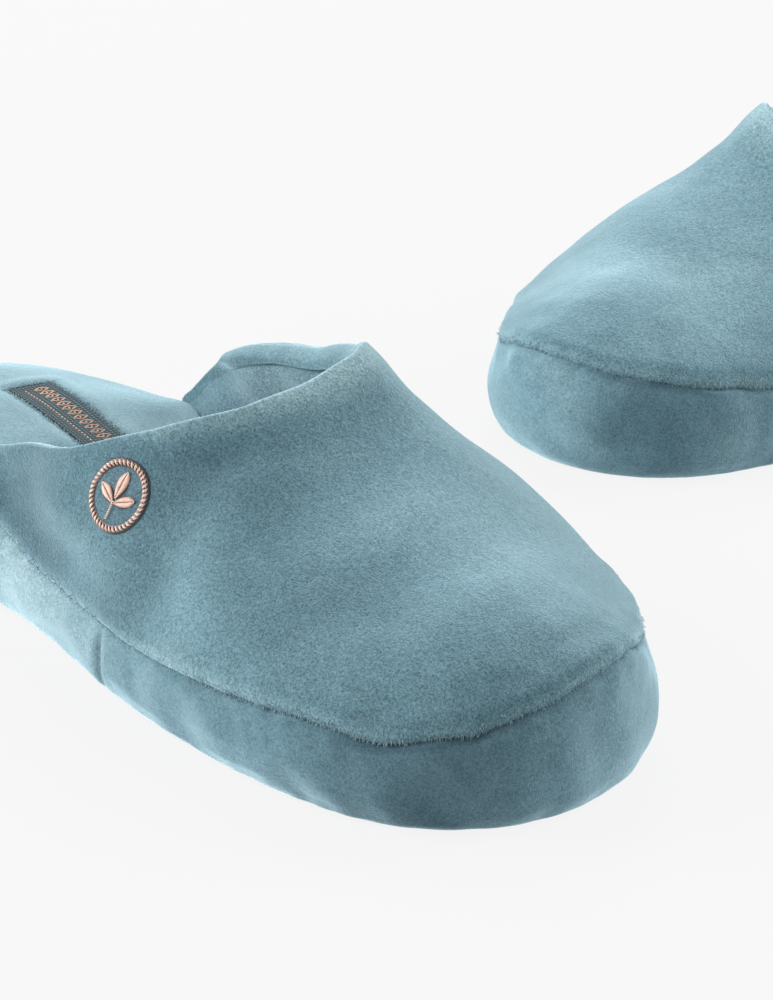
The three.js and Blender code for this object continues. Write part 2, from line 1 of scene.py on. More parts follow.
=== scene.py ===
"""Looks for a pair of plush spa slippers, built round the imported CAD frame.

Each slipper is modelled in its own frame in millimetres, as the CAD source is:
x from heel to toe, y towards the inner side of the foot, z up. place() takes
the points to the row frame in metres. The left slipper mirrors the right one.
"""
import math

import bmesh
import bpy
import numpy as np
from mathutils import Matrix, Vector
from mathutils.bvhtree import BVHTree


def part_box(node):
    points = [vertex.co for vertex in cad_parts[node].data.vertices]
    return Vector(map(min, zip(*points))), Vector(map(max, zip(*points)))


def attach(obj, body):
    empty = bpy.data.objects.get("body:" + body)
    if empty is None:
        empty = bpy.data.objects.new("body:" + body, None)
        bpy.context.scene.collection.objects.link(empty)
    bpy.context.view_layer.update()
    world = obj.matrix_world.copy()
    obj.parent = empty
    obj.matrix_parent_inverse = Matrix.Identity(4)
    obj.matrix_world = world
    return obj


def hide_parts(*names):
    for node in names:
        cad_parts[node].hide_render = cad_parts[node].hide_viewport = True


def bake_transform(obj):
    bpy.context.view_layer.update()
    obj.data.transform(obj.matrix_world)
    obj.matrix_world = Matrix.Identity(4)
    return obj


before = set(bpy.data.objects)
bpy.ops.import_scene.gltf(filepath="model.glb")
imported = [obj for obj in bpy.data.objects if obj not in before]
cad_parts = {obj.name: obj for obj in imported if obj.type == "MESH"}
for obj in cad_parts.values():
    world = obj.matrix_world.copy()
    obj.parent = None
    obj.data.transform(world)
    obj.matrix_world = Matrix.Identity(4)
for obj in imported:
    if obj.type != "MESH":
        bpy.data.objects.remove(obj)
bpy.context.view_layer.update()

SIDES = ("right", "left")

# ------------------------------------------------------------------ dimensions
OUTLINE = [
    (-2.3, 0), (3, -14.9), (14.5, -25.7), (29.3, -31.3), (45.1, -33.1), (61.1, -33.3), (77, -33.8),
    (92.8, -35.2), (108.6, -37.8), (124.1, -41.4), (139.6, -45.2), (155.2, -48.4), (170.9, -50.8),
    (186.8, -52), (202.7, -52.1), (218.6, -50.9), (234.2, -47.7), (248.2, -40.4), (258.8, -28.6),
    (264.6, -13.8), (265, 2.1), (260.6, 17.3), (251.3, 30.2), (239.6, 41), (227, 50.7), (212.6, 57.3),
    (196.9, 59.7), (181, 58.7), (165.4, 55.2), (150.1, 50.9), (134.6, 47.4), (118.8, 45.2),
    (102.9, 43.9), (87, 43.1), (71.1, 42.2), (55.2, 40.9), (39.5, 38.5), (24.1, 34.4), (9.7, 27.8),
    (-0.2, 15.6),
]
SEAM_Z = [(-3, 26.2), (30, 28.6), (60, 29.6), (87, 23.8), (110, 18.6), (150, 18.2), (185, 20), (215, 22.4), (240, 25), (255, 28), (266, 32)]
BED_Z = [(-3, 35), (25, 37), (60, 37.7), (80, 36.9), (105, 32.2), (130, 27.0), (160, 24.4), (200, 23), (235, 23), (258, 25)]
CROWN = [(60, 88.8), (100, 86.8), (130, 77.4), (162, 55.3), (180, 41.6), (200, 33), (220, 24.6), (238, 21), (250, 19), (273, 14.4)]
SQUARE = [(120, 1.74), (180, 1.89), (240, 1.69)]
OFFSET = [(120, 15.5), (180, 19.9), (240, 2)]
TOPLINE = [
    (-0.985, 74.8), (-0.93, 90.4), (-0.84, 119.9), (-0.7, 141.5), (-0.45, 155.4), (-0.2, 159.7), (0, 158.6),
    (0.2, 155.4), (0.45, 149.6), (0.7, 131), (0.84, 101.4), (0.93, 85.3), (0.968, 77.5), (0.985, 73.2), (0.998, 69.0),
]
# how far each slipper's seam lies from the mean seam height, by direction round the toe in degrees
SEAM_SHIFT = {
    "right": [(-98, 0), (-76, -0.4), (-63, -1.7), (-57, -3.0), (-51, -3.8), (-45, -3.4), (-39, -3.0), (-33, -3.2), (-27, -2.8),
              (-21, -2.2), (-15, -1.2), (-9, 0.4), (-3, 1.3), (4, 2.3), (10, 3.2), (30, 1.5), (60, 0)],
    "left": [(-98, 0.3), (-70, 2.0), (-63, 2.5), (-57, 2.4), (-51, 2.7), (-45, 3.0), (-39, 2.8), (-33, 2.2), (-27, 1.6),
             (-21, 1.1), (-15, 0.8), (-9, 0.2), (-3, -0.6), (4, -1.7), (10, -2.6), (30, -1.2), (60, 0)],
}
TOE_STEP = 1.5             # the upper stands this much further in from the edge round the toe
HEEL = {"right": (0.0, 0.0), "left": (131.8, 402.7)}
HEADING = {"right": 0.0, "left": math.radians(262.72)}
FLEX_X = 160.0
SIDE_SEAM_X = 142.0
UPPER_T = 5.0              # plush and padding of the upper
LINING_T = 1.9
TURN_IN = 2.4
LABEL = dict(x=64.9, y=6.0, length=49.0, width=13.0, turn=math.radians(-12.1))
BADGE = dict(x=137.4, e=-0.874, r=8.2)

_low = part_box("right_outsole_rear")[0] * 1000
ORIGIN = np.array([_low.x + 1.87936, _low.y + 48.59159, 0.0])


def place(side, p):
    """Points of a slipper's own frame, in mm, as row-frame points in metres."""
    p = np.asarray(p, float)
    y = -p[..., 1] if side == "left" else p[..., 1]
    c, s = math.cos(HEADING[side]), math.sin(HEADING[side])
    hx, hy = HEEL[side]
    return np.stack([hx + p[..., 0] * c - y * s + ORIGIN[0], hy + p[..., 0] * s + y * c + ORIGIN[1], p[..., 2] + ORIGIN[2]], -1) / 1000


# ------------------------------------------------------------------ curves
class Table:
    """Smooth curve through (x, value) knots, level outside them."""

    def __init__(self, knots):
        k = np.array(knots, float)
        self.x, self.y = k[:, 0], k[:, 1]
        m = np.zeros(len(k))
        s = np.diff(self.y) / np.diff(self.x)
        both = s[:-1] * s[1:] > 0
        m[1:-1][both] = (2 * s[:-1] * s[1:] / (s[:-1] + s[1:] + 1e-30))[both]
        self.m = m

    def __call__(self, x):
        x = np.clip(np.asarray(x, float), self.x[0], self.x[-1])
        i = np.clip(np.searchsorted(self.x, x, side="right") - 1, 0, len(self.x) - 2)
        h = self.x[i + 1] - self.x[i]
        t = (x - self.x[i]) / h
        return ((2 * t**3 - 3 * t**2 + 1) * self.y[i] + (t**3 - 2 * t**2 + t) * h * self.m[i]
                + (3 * t**2 - 2 * t**3) * self.y[i + 1] + (t**3 - t**2) * h * self.m[i + 1])


seam_z, bed_z, crown, square, offset, topline_x = (Table(k) for k in (SEAM_Z, BED_Z, CROWN, SQUARE, OFFSET, TOPLINE))
seam_shift = {s: Table(k) for s, k in SEAM_SHIFT.items()}


def smooth(t):
    t = np.clip(t, 0, 1)
    return t * t * (3 - 2 * t)


def gauss(x, centre, width):
    return np.exp(-(((x - centre) / width) ** 2))


def closed_curve(points, count):
    """Centripetal Catmull-Rom through closed points, at even steps of length."""
    p = np.array(points, float)
    n = len(p)
    out = []
    for i in range(n):
        a, b, c, d = p[i - 1], p[i], p[(i + 1) % n], p[(i + 2) % n]
        t0, t1, t2 = (np.linalg.norm(v) ** 0.5 for v in (b - a, c - b, d - c))
        m1 = ((b - a) / t0 - (c - a) / (t0 + t1) + (c - b) / t1) * t1
        m2 = ((c - b) / t1 - (d - b) / (t1 + t2) + (d - c) / t2) * t1
        t = np.linspace(0, 1, 60, endpoint=False)[:, None]
        out.append(b + m1 * t + (-3 * b + 3 * c - 2 * m1 - m2) * t**2 + (2 * b - 2 * c + m1 + m2) * t**3)
    q = np.vstack(out)
    q = np.vstack([q, q[:1]])
    s = np.r_[0, np.cumsum(np.linalg.norm(np.diff(q, axis=0), axis=1))]
    at = np.linspace(0, s[-1], count, endpoint=False)
    return np.stack([np.interp(at, s, q[:, k]) for k in (0, 1)], -1), s[-1]


DENSE = 720
PLAN, PERIMETER = closed_curve(OUTLINE, DENSE)
_t = np.roll(PLAN, -1, 0) - np.roll(PLAN, 1, 0)
NORMAL = np.stack([_t[:, 1], -_t[:, 0]], -1)
NORMAL /= np.linalg.norm(NORMAL, axis=1)[:, None]

_sides = {}


def sides(inset):
    """The outline moved inwards, as an outer and an inner side over x."""
    key = round(float(inset), 3)
    if key not in _sides:
        p = PLAN - key * NORMAL
        heel, toe = int(np.argmin(p[:, 0])), int(np.argmax(p[:, 0]))

        def walk(step):
            line, i = [p[heel]], heel
            while i != toe:
                i = (i + step) % DENSE
                if p[i][0] > line[-1][0] + 1e-6:
                    line.append(p[i])
            return np.array(line)

        _sides[key] = dict(heel=p[heel], toe=p[toe], outer=walk(1), inner=walk(-1))
    return _sides[key]


def edge_y(inset, x, side):
    line = sides(inset)[side]
    return np.interp(x, line[:, 0], line[:, 1])


def edge_distance(p):
    """Distance of plan points from the outline, inwards positive."""
    d = np.empty(len(p))
    for i in range(0, len(p), 4000):
        q = p[i:i + 4000]
        v = q[:, None, :] - PLAN[None, :, :]
        k = np.argmin((v**2).sum(-1), 1)
        w = q - PLAN[k]
        along = np.stack([-NORMAL[k, 1], NORMAL[k, 0]], -1)
        across = -(w * NORMAL[k]).sum(-1)
        slip = (w * along).sum(-1)
        near = np.hypot(across, np.maximum(np.abs(slip) - 0.6, 0))
        d[i:i + 4000] = np.where(across > 0, near, -near)
    return d


class Waves:
    """A smooth random field, as a sum of seeded waves."""

    def __init__(self, seed, length, count=14, spread=0.5):
        r = np.random.default_rng(seed)
        k = r.normal(size=(count, 3))
        k /= np.linalg.norm(k, axis=1)[:, None]
        self.k = k * (2 * math.pi / (length * np.exp(r.uniform(-spread, spread, count))))[:, None]
        self.f = r.uniform(0, 2 * math.pi, count)

    def __call__(self, p):
        p = np.asarray(p, float)
        return np.sin(p @ self.k.T + self.f).sum(-1) / math.sqrt(len(self.f) / 2)


# ------------------------------------------------------------------ cloth
def puff(points, normals, thickness, held, cap, pressure, wrap=False, slack=-0.012):
    """Cloth simulation of a padded sheet, points[row, column] in mm: how far its outer face swells, at most cap."""
    rows, cols = points.shape[:2]
    inner = points - normals * thickness
    verts = np.vstack([points.reshape(-1, 3), inner.reshape(-1, 3)]) / 1000
    idx = np.arange(rows * cols).reshape(rows, cols)
    if wrap:
        a, b = idx, np.roll(idx, -1, 0)
    else:
        a, b = idx[:-1], idx[1:]
    q = np.stack([a[:, :-1], b[:, :-1], b[:, 1:], a[:, 1:]], -1).reshape(-1, 4)
    n = rows * cols
    faces = q.tolist() + (q[:, ::-1] + n).tolist()
    edges = [(idx[:, 0], wrap), (idx[:, -1], wrap)] + ([] if wrap else [(idx[0], False), (idx[-1], False)])
    for line, loop in edges:
        nxt = np.roll(line, -1) if loop else line[1:]
        faces += [(int(i), int(j), int(j + n), int(i + n)) for i, j in zip(line, nxt)]
    mesh = bpy.data.meshes.new("cloth_work")
    mesh.from_pydata([tuple(v) for v in verts], [], [tuple(int(i) for i in f) for f in faces])
    bm = bmesh.new()
    bm.from_mesh(mesh)
    bmesh.ops.recalc_face_normals(bm, faces=bm.faces)
    bm.to_mesh(mesh)
    bm.free()
    o = bpy.data.objects.new("cloth_work", mesh)
    bpy.context.scene.collection.objects.link(o)
    group = o.vertex_groups.new(name="held")
    fixed = np.r_[held.ravel(), np.ones(n, bool)]
    group.add([int(i) for i in np.nonzero(fixed)[0]], 1.0, "REPLACE")
    cloth = o.modifiers.new("cloth", "CLOTH")
    c = cloth.settings
    c.quality = 5
    c.mass = 0.25
    c.tension_stiffness = c.compression_stiffness = 12
    c.shear_stiffness = 4
    c.bending_stiffness = 0.4
    c.shrink_min = slack
    c.use_pressure = True
    c.uniform_pressure_force = pressure
    c.vertex_group_mass = "held"
    c.effector_weights.gravity = 0
    cloth.point_cache.frame_start, cloth.point_cache.frame_end = 1, 20
    scene = bpy.context.scene
    for f in range(1, 21):
        scene.frame_set(f)
    done = o.evaluated_get(bpy.context.evaluated_depsgraph_get())
    co = np.empty(len(mesh.vertices) * 3)
    done.data.vertices.foreach_get("co", co)
    move = (co.reshape(-1, 3)[:n] - verts[:n]) * 1000
    bpy.data.objects.remove(o)
    scene.frame_set(1)
    size = np.linalg.norm(move, axis=1)[:, None] + 1e-9
    move = move / size * cap * np.tanh(size / cap)
    move[~np.isfinite(move).all(1)] = 0
    return move.reshape(rows, cols, 3)


def spread(move, shape, step=3):
    """A coarse field of moves, smoothly at every point of the finer grid."""
    rows, cols = shape
    r, c = np.arange(rows) / step, np.arange(cols) / step
    out = np.empty((rows, move.shape[1], 3))
    for j in range(move.shape[1]):
        for k in range(3):
            out[:, j, k] = np.interp(r, np.arange(move.shape[0]), move[:, j, k])
    full = np.empty((rows, cols, 3))
    for i in range(rows):
        for k in range(3):
            full[i, :, k] = np.interp(c, np.arange(move.shape[1]), out[i, :, k])
    for _ in range(5):
        full[1:-1] = (full[:-2] + 2 * full[1:-1] + full[2:]) / 4
        full[:, 1:-1] = (full[:, :-2] + 2 * full[:, 1:-1] + full[:, 2:]) / 4
    return full


# ------------------------------------------------------------------ mesh helpers
def make(name, verts, faces, material, side=None, flat=False, merge=0.0):
    """A mesh object in the row frame from points in mm of the slipper's own frame."""
    if side:
        verts = place(side, verts)
    mesh = bpy.data.meshes.new(name)
    mesh.from_pydata([tuple(v) for v in np.asarray(verts, float)], [], [tuple(int(i) for i in f) for f in faces])
    bm = bmesh.new()
    bm.from_mesh(mesh)
    if merge:
        bmesh.ops.remove_doubles(bm, verts=bm.verts, dist=merge)
    bmesh.ops.dissolve_degenerate(bm, edges=bm.edges, dist=1e-7)
    bmesh.ops.recalc_face_normals(bm, faces=bm.faces)
    bm.to_mesh(mesh)
    bm.free()
    mesh.polygons.foreach_set("use_smooth", [not flat] * len(mesh.polygons))
    mesh.update()
    o = bpy.data.objects.new(name, mesh)
    bpy.context.scene.collection.objects.link(o)
    for m in (material if isinstance(material, (list, tuple)) else [material]):
        o.data.materials.append(m)
    return o


def bend(o):
    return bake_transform(o)


# ------------------------------------------------------------------ materials
def nodes_of(name):
    m = bpy.data.materials.new(name)
    m.use_nodes = True
    t = m.node_tree
    t.nodes.clear()
    out = t.nodes.new("ShaderNodeOutputMaterial")
    b = t.nodes.new("ShaderNodeBsdfPrincipled")
    t.links.new(b.outputs[0], out.inputs[0])
    return m, t, b


def add(t, kind, **values):
    n = t.nodes.new(kind)
    for k, v in values.items():
        if k.startswith("_"):
            n.inputs[int(k[1:])].default_value = v
        elif hasattr(n, k) and k not in n.inputs:
            setattr(n, k, v)
        else:
            n.inputs[k].default_value = v
    return n


def mapped(t, scale=(1, 1, 1), turn=(0, 0, 0)):
    c = add(t, "ShaderNodeTexCoord")
    m = add(t, "ShaderNodeMapping")
    m.inputs["Scale"].default_value = scale
    m.inputs["Rotation"].default_value = turn
    t.links.new(c.outputs["Object"], m.inputs["Vector"])
    return m.outputs[0]


def noise(t, vector, scale, detail=3.0, rough=0.55, distort=0.0):
    n = add(t, "ShaderNodeTexNoise", Scale=scale, Detail=detail, Roughness=rough, Distortion=distort)
    t.links.new(vector, n.inputs["Vector"])
    return n.outputs["Fac"]


def ramp(t, fac, stops):
    r = add(t, "ShaderNodeValToRGB")
    while len(r.color_ramp.elements) < len(stops):
        r.color_ramp.elements.new(0.5)
    for e, (pos, col) in zip(r.color_ramp.elements, stops):
        e.position = pos
        e.color = (*col, 1) if len(col) == 3 else (col[0],) * 3 + (1,)
    t.links.new(fac, r.inputs[0])
    return r.outputs[0]


def math_node(t, op, a, b):
    n = add(t, "ShaderNodeMath", operation=op)
    for i, v in enumerate((a, b)):
        if isinstance(v, (int, float)):
            n.inputs[i].default_value = v
        else:
            t.links.new(v, n.inputs[i])
    return n.outputs[0]


def mix(t, kind, fac, a, b):
    n = add(t, "ShaderNodeMix", data_type="RGBA", blend_type=kind)
    for i, v in ((0, fac), (6, a), (7, b)):
        if isinstance(v, (int, float)):
            n.inputs[i].default_value = v
        elif isinstance(v, tuple):
            n.inputs[i].default_value = (*v, 1)
        else:
            t.links.new(v, n.inputs[i])
    return n.outputs[2]


def nap(obj, side, fn):
    """Stores on each vertex a tone for the pile: 0.5 as made, lower darker, higher lighter. Besides random nap patches
    it carries painted shade and painted highlights.
    """
    mesh = obj.data
    co = np.empty(len(mesh.vertices) * 3)
    mesh.vertices.foreach_get("co", co)
    p = co.reshape(-1, 3) * 1000 - ORIGIN
    hx, hy = HEEL[side]
    c, s_ = math.cos(HEADING[side]), math.sin(HEADING[side])
    dx, dy = p[:, 0] - hx, p[:, 1] - hy
    x, y = dx * c + dy * s_, -dx * s_ + dy * c
    if side == "left":
        y = -y
    value = np.clip(0.5 + 0.5 * fn(x, y, p[:, 2]), 0, 1)
    layer = mesh.color_attributes.new("nap", "FLOAT_COLOR", "POINT")
    layer.data.foreach_set("color", np.c_[value, value, value, np.ones(len(value))].ravel())


def plush(name, deep, light, pile=1.0, sheen=1.0, seed=0.0, mottling=1.0, grit=0.9):
    """Short brushed pile: mottled nap, fine fibre grain and a soft sheen at grazing angles."""
    m, t, b = nodes_of(name)
    plain = mapped(t)
    shifted = add(t, "ShaderNodeVectorMath", operation="ADD")
    t.links.new(plain, shifted.inputs[0])
    shifted.inputs[1].default_value = (seed, seed * 1.7, 0)
    v = shifted.outputs[0]
    patches = noise(t, v, 24, 2.0, 0.5, 0.5)
    strokes = noise(t, mapped(t, (165, 290, 230), (0.3, 0.2, 0.5)), 1.0, 2.0, 0.6, 0.6)
    grain = noise(t, v, 2300, 2.0, 0.7)
    tufts = noise(t, v, 1150, 3.0, 0.65, 0.5)
    fibres = noise(t, mapped(t, (1200, 3400, 2000), (0.5, 0.3, 0.9)), 1.0, 1.0, 0.5, 0.8)
    tone = math_node(t, "ADD", math_node(t, "MULTIPLY", patches, 0.72 * mottling), math_node(t, "MULTIPLY", strokes, 0.32))
    tone = math_node(t, "ADD", tone, 0.34 - 0.36 * mottling)
    base = ramp(t, tone, [(0.30, deep), (0.70, light)])
    mixed = math_node(t, "ADD", math_node(t, "MULTIPLY", grain, 0.40),
                      math_node(t, "ADD", math_node(t, "MULTIPLY", tufts, 0.35), math_node(t, "MULTIPLY", fibres, 0.25)))
    grain_tone = ramp(t, mixed, [(0.37, (0.45,)), (0.5, (1.0,)), (0.63, (1.55,))])
    # the stored tone multiplies the colour: random nap patches, painted shade where it is low and paler painted
    # highlights where it is high
    painted_light_and_nap_tone = add(t, "ShaderNodeVertexColor", layer_name="nap")
    base = mix(t, "MULTIPLY", 1.0, base, ramp(t, painted_light_and_nap_tone.outputs[0], [(0.0, (0.50, 0.53, 0.56)), (0.5, (1, 1, 1)), (1.0, (2.0, 1.62, 1.50))]))
    colour = mix(t, "MULTIPLY", grit, base, grain_tone)
    t.links.new(colour, b.inputs["Base Color"])
    b.inputs["Roughness"].default_value = 0.95
    b.inputs["Specular IOR Level"].default_value = 0.12
    b.inputs["Diffuse Roughness"].default_value = 0.5
    b.inputs["Sheen Weight"].default_value = sheen
    b.inputs["Sheen Roughness"].default_value = 0.40
    b.inputs["Sheen Tint"].default_value = (0.64, 0.90, 1.0, 1)
    soft = add(t, "ShaderNodeBump", Strength=0.28, Distance=0.0006 * pile)
    t.links.new(strokes, soft.inputs["Height"])
    fine = add(t, "ShaderNodeBump", Strength=0.75, Distance=0.0006 * pile)
    t.links.new(mixed, fine.inputs["Height"])
    t.links.new(soft.outputs[0], fine.inputs["Normal"])
    t.links.new(fine.outputs[0], b.inputs["Normal"])
    return m


def foam_material(name, colour):
    m, t, b = nodes_of(name)
    v = mapped(t)
    cells = add(t, "ShaderNodeTexVoronoi", Scale=900)
    t.links.new(v, cells.inputs["Vector"])
    tone = ramp(t, noise(t, v, 60, 3), [(0.3, tuple(c * 0.86 for c in colour)), (0.7, colour)])
    t.links.new(mix(t, "MULTIPLY", 0.3, tone, ramp(t, cells.outputs["Distance"], [(0.1, (0.6,)), (0.6, (1.0,))])), b.inputs["Base Color"])
    b.inputs["Roughness"].default_value = 0.9
    bump = add(t, "ShaderNodeBump", Strength=0.4, Distance=0.0004)
    t.links.new(cells.outputs["Distance"], bump.inputs["Height"])
    t.links.new(bump.outputs[0], b.inputs["Normal"])
    return m


def rubber_material(name, colour):
    m, t, b = nodes_of(name)
    v = mapped(t)
    fine = noise(t, v, 1400, 2.0)
    scuffs = noise(t, mapped(t, (35, 120, 60), (0, 0, 0.4)), 1.0, 4.0, 0.7)
    tone = ramp(t, noise(t, v, 45, 4, 0.6), [(0.3, tuple(c * 0.78 for c in colour)), (0.72, tuple(min(1, c * 1.2) for c in colour))])
    t.links.new(mix(t, "MIX", ramp(t, scuffs, [(0.58, (0,)), (0.75, (0.35,))]), tone, tuple(min(1, c * 1.9 + 0.02) for c in colour)), b.inputs["Base Color"])
    t.links.new(ramp(t, fine, [(0.2, (0.55,)), (0.8, (0.8,))]), b.inputs["Roughness"])
    b.inputs["Specular IOR Level"].default_value = 0.4
    bump = add(t, "ShaderNodeBump", Strength=0.35, Distance=0.0002)
    t.links.new(fine, bump.inputs["Height"])
    t.links.new(bump.outputs[0], b.inputs["Normal"])
    return m


def thread_material(name, colour, dark, strands=5200):
    """Satin embroidery thread: fine strands with a soft gloss."""
    m, t, b = nodes_of(name)
    v = mapped(t)
    strand = noise(t, v, strands, 2.0, 0.6)
    tone = ramp(t, math_node(t, "ADD", math_node(t, "MULTIPLY", strand, 0.6), math_node(t, "MULTIPLY", noise(t, v, 700, 2.0), 0.4)),
                [(0.32, dark), (0.62, colour)])
    t.links.new(tone, b.inputs["Base Color"])
    b.inputs["Roughness"].default_value = 0.42
    b.inputs["Sheen Weight"].default_value = 0.25
    b.inputs["Sheen Roughness"].default_value = 0.4
    bump = add(t, "ShaderNodeBump", Strength=0.4, Distance=0.00012)
    t.links.new(strand, bump.inputs["Height"])
    t.links.new(bump.outputs[0], b.inputs["Normal"])
    return m


def ribbon_material(name, warp, weft):
    """Damask ribbon: fine over-and-under weave."""
    m, t, b = nodes_of(name)
    turn = LABEL["turn"]
    v = mapped(t, (1, 1, 1), (0, 0, -turn))
    bands = []
    for axis, scale in (("X", 1500), ("Y", 1900)):
        w = add(t, "ShaderNodeTexWave", wave_type="BANDS", bands_direction=axis, Scale=scale / 6.283, Distortion=0.3)
        t.links.new(v, w.inputs["Vector"])
        bands.append(w.outputs["Fac"])
    weave = math_node(t, "MULTIPLY", bands[0], bands[1])
    tone = ramp(t, weave, [(0.05, warp), (0.6, weft)])
    t.links.new(mix(t, "MULTIPLY", 0.5, tone, ramp(t, noise(t, v, 350, 3), [(0.3, (0.75,)), (0.7, (1.15,))])), b.inputs["Base Color"])
    b.inputs["Roughness"].default_value = 0.75
    b.inputs["Specular IOR Level"].default_value = 0.2
    bump = add(t, "ShaderNodeBump", Strength=0.5, Distance=0.00015)
    t.links.new(weave, bump.inputs["Height"])
    t.links.new(bump.outputs[0], b.inputs["Normal"])
    return m


TEAL_DEEP, TEAL_LIGHT = (0.103, 0.206, 0.250), (0.172, 0.308, 0.360)
MAT = {
    "upper": plush("upper_plush", TEAL_DEEP, TEAL_LIGHT, 1.15, 1.2, 0.0, 1.15),
    "wall": plush("wall_plush", (0.100, 0.200, 0.245), (0.196, 0.336, 0.392), 0.6, 1.2, 3.1, 1.0, 0.62),
    "lining": plush("lining_plush", (0.110, 0.203, 0.244), (0.180, 0.300, 0.350), 0.9, 1.0, 5.3),
    "sock": plush("sock_plush", (0.100, 0.188, 0.222), (0.160, 0.265, 0.305), 0.75, 1.0, 7.7, 1.0, 0.7),
    "foam": foam_material("padding_foam", (0.80, 0.77, 0.69)),
    "platform": foam_material("platform_foam", (0.76, 0.74, 0.68)),
    "tread": rubber_material("tread_rubber", (0.045, 0.078, 0.095)),
    "thread": thread_material("badge_thread", (0.90, 0.66, 0.55), (0.62, 0.36, 0.27)),
    "ground": plush("badge_ground", (0.085, 0.160, 0.195), (0.16, 0.27, 0.32), 0.7, 0.7, 9.0),
    # dark thread laid under the badge's stitches; where it shows round them it is painted shade
    "under": thread_material("badge_underlay", (0.075, 0.060, 0.062), (0.035, 0.030, 0.034)),
    "ribbon": ribbon_material("label_ribbon", (0.018, 0.034, 0.041), (0.088, 0.140, 0.158)),
    "copper": thread_material("label_copper", (0.72, 0.42, 0.27), (0.40, 0.20, 0.12)),
    "pile": plush("pile_tips", (0.230, 0.380, 0.440), (0.340, 0.500, 0.560), 0.5, 1.0, 2.2),
    "edge": thread_material("label_edge", (0.014, 0.024, 0.030), (0.006, 0.012, 0.016)),
}


# ------------------------------------------------------------------ the upper
def shift_at(side, x, y):
    """How far the seam lies from the mean seam height at plan points."""
    turn = np.degrees(np.arctan2(np.asarray(y, float) - 5, np.asarray(x, float) - 200))
    return seam_shift[side](turn) * smooth((np.asarray(x, float) - 188) / 10)


def upper_end(d):
    return sides(0.3 + d + TOE_STEP)["toe"][0]


def upper_point(side, x, e, d):
    """The upper at x, at share e of its width, d inside its outer face. x, e arrays; d a number."""
    s, t = sides(0.3 + d), sides(0.3 + d + TOE_STEP)
    end = t["toe"][0]
    xx = np.minimum(x, end)
    w = smooth((xx - 190) / 50)
    y0, y1 = ((1 - w) * np.interp(xx, s[k][:, 0], s[k][:, 1]) + w * np.interp(xx, t[k][:, 0], t[k][:, 1]) for k in ("outer", "inner"))
    y0, y1 = np.where(xx >= end - 1e-6, t["toe"][1], y0), np.where(xx >= end - 1e-6, t["toe"][1], y1)
    ridge = (y0 + y1) / 2 + offset(xx) * np.clip((end - xx) / 40, 0, 1)
    y = np.where(e < 0, ridge + e * (ridge - y0), ridge + e * (y1 - ridge))
    u = np.clip((end - xx) / 34, 0, 1)
    rise = (crown(xx) - d) * np.sqrt(np.maximum(0, 1 - (1 - u) ** 2.2))
    n = square(xx)
    g = np.maximum(0, 1 - np.abs(e) ** n) ** (1 / n)
    h = rise * g
    z = seam_z(xx) - 0.1 + h + shift_at(side, xx, y) * np.exp(-h / 10)
    return np.stack([xx, y, z], -1)


def seam_height(side, x, y):
    """Height of the seam between wall and upper at plan points on the outline."""
    return seam_z(x) + shift_at(side, x, y)


def outward(p):
    """The outline's outward direction in plan, from the nearest place on it."""
    q = p[..., :2].reshape(-1, 2)
    out = np.zeros((len(q), 3))
    near, turn = PLAN[::3], NORMAL[::3]
    for i in range(0, len(q), 4000):
        far = ((q[i:i + 4000, None, :] - near[None]) ** 2).sum(-1)
        far = np.exp(-(far - far.min(1)[:, None]) / 16)
        out[i:i + 4000, :2] = far @ turn
    out /= np.linalg.norm(out, axis=1)[:, None]
    return out.reshape(p.shape)


def flare(x, e):
    """Large soft forms of the upper: the side panel stands out behind the ball and a hollow runs before it."""
    w = smooth((1 - np.abs(e)) / 0.07) * smooth((np.abs(e) - 0.30) / 0.30)
    outer = w * (e < 0)
    inner = w * (e > 0)
    return (outer * (4.0 * gauss(x, 117, 17) - 4.2 * gauss(x, 158, 13) + 0.8 * gauss(x, 190, 16))
            + inner * (1.5 * gauss(x, 110, 18) - 1.5 * gauss(x, 158, 14)))


def upper_grid(side, d, xs, es):
    """Points of the upper with its soft forms, for stations xs[row, column] and shares es[column]."""
    e = np.broadcast_to(es, xs.shape)
    p = upper_point(side, xs, e, d)
    h = 0.8
    e_lo, e_hi = np.maximum(e - 0.012, -0.9995), np.minimum(e + 0.012, 0.9995)
    end = upper_end(d)
    xq = np.minimum(xs, end - 2.0)
    tx = upper_point(side, xq + h, e * 0.9995, d) - upper_point(side, xq - h, e * 0.9995, d)
    te = upper_point(side, xq, e_hi, d) - upper_point(side, xq, e_lo, d)
    n = np.cross(tx, te)
    n /= np.linalg.norm(n, axis=-1)[..., None] + 1e-12
    out = outward(p)
    tip = smooth((xs - end + 3.0) / 3.0)[..., None]
    n = n * (1 - tip) + (out * 0.75 + np.array([0, 0, 0.66])) * tip
    n /= np.linalg.norm(n, axis=-1)[..., None]
    sag = (1.9 * gauss(xs, 90, 16) + 0.9 * gauss(xs, 117, 15)) * smooth((-e - 0.62) / 0.16) * smooth((1 - np.abs(e)) / 0.03)
    sag = sag + 1.6 * gauss(xs, 118, 42) * smooth((e - 0.28) / 0.3) * smooth((1 - np.abs(e)) / 0.03)
    return p + out * flare(xs, e)[..., None] - np.array([0, 0, 1]) * sag[..., None], n


def upper_start(e):
    """Where the collar edge runs, forward of its roll."""
    return topline_x(e) + 0.8


NE, NX = 150, 120
SHARES = np.sin(np.linspace(-math.pi / 2, math.pi / 2, NE + 1))
ROWS = np.sin(np.linspace(0, math.pi / 2, NX + 1))


def thinned(side, p, xs):
    """Draws the inner faces towards the outer one where the side panels run out at their rear ends."""
    start = upper_start(SHARES)
    w = 1 - 0.72 * smooth((np.abs(SHARES) - 0.87) / 0.07)[None, :] * (1 - smooth((xs - start[None, :]) / 17))
    outer = upper_grid(side, 0.0, xs, SHARES)[0]
    return outer + (p - outer) * w[..., None]


def turn_in(e):
    """How far the outer is turned in over the collar."""
    return TURN_IN - 1.2 * smooth((np.abs(e) - 0.88) / 0.09)


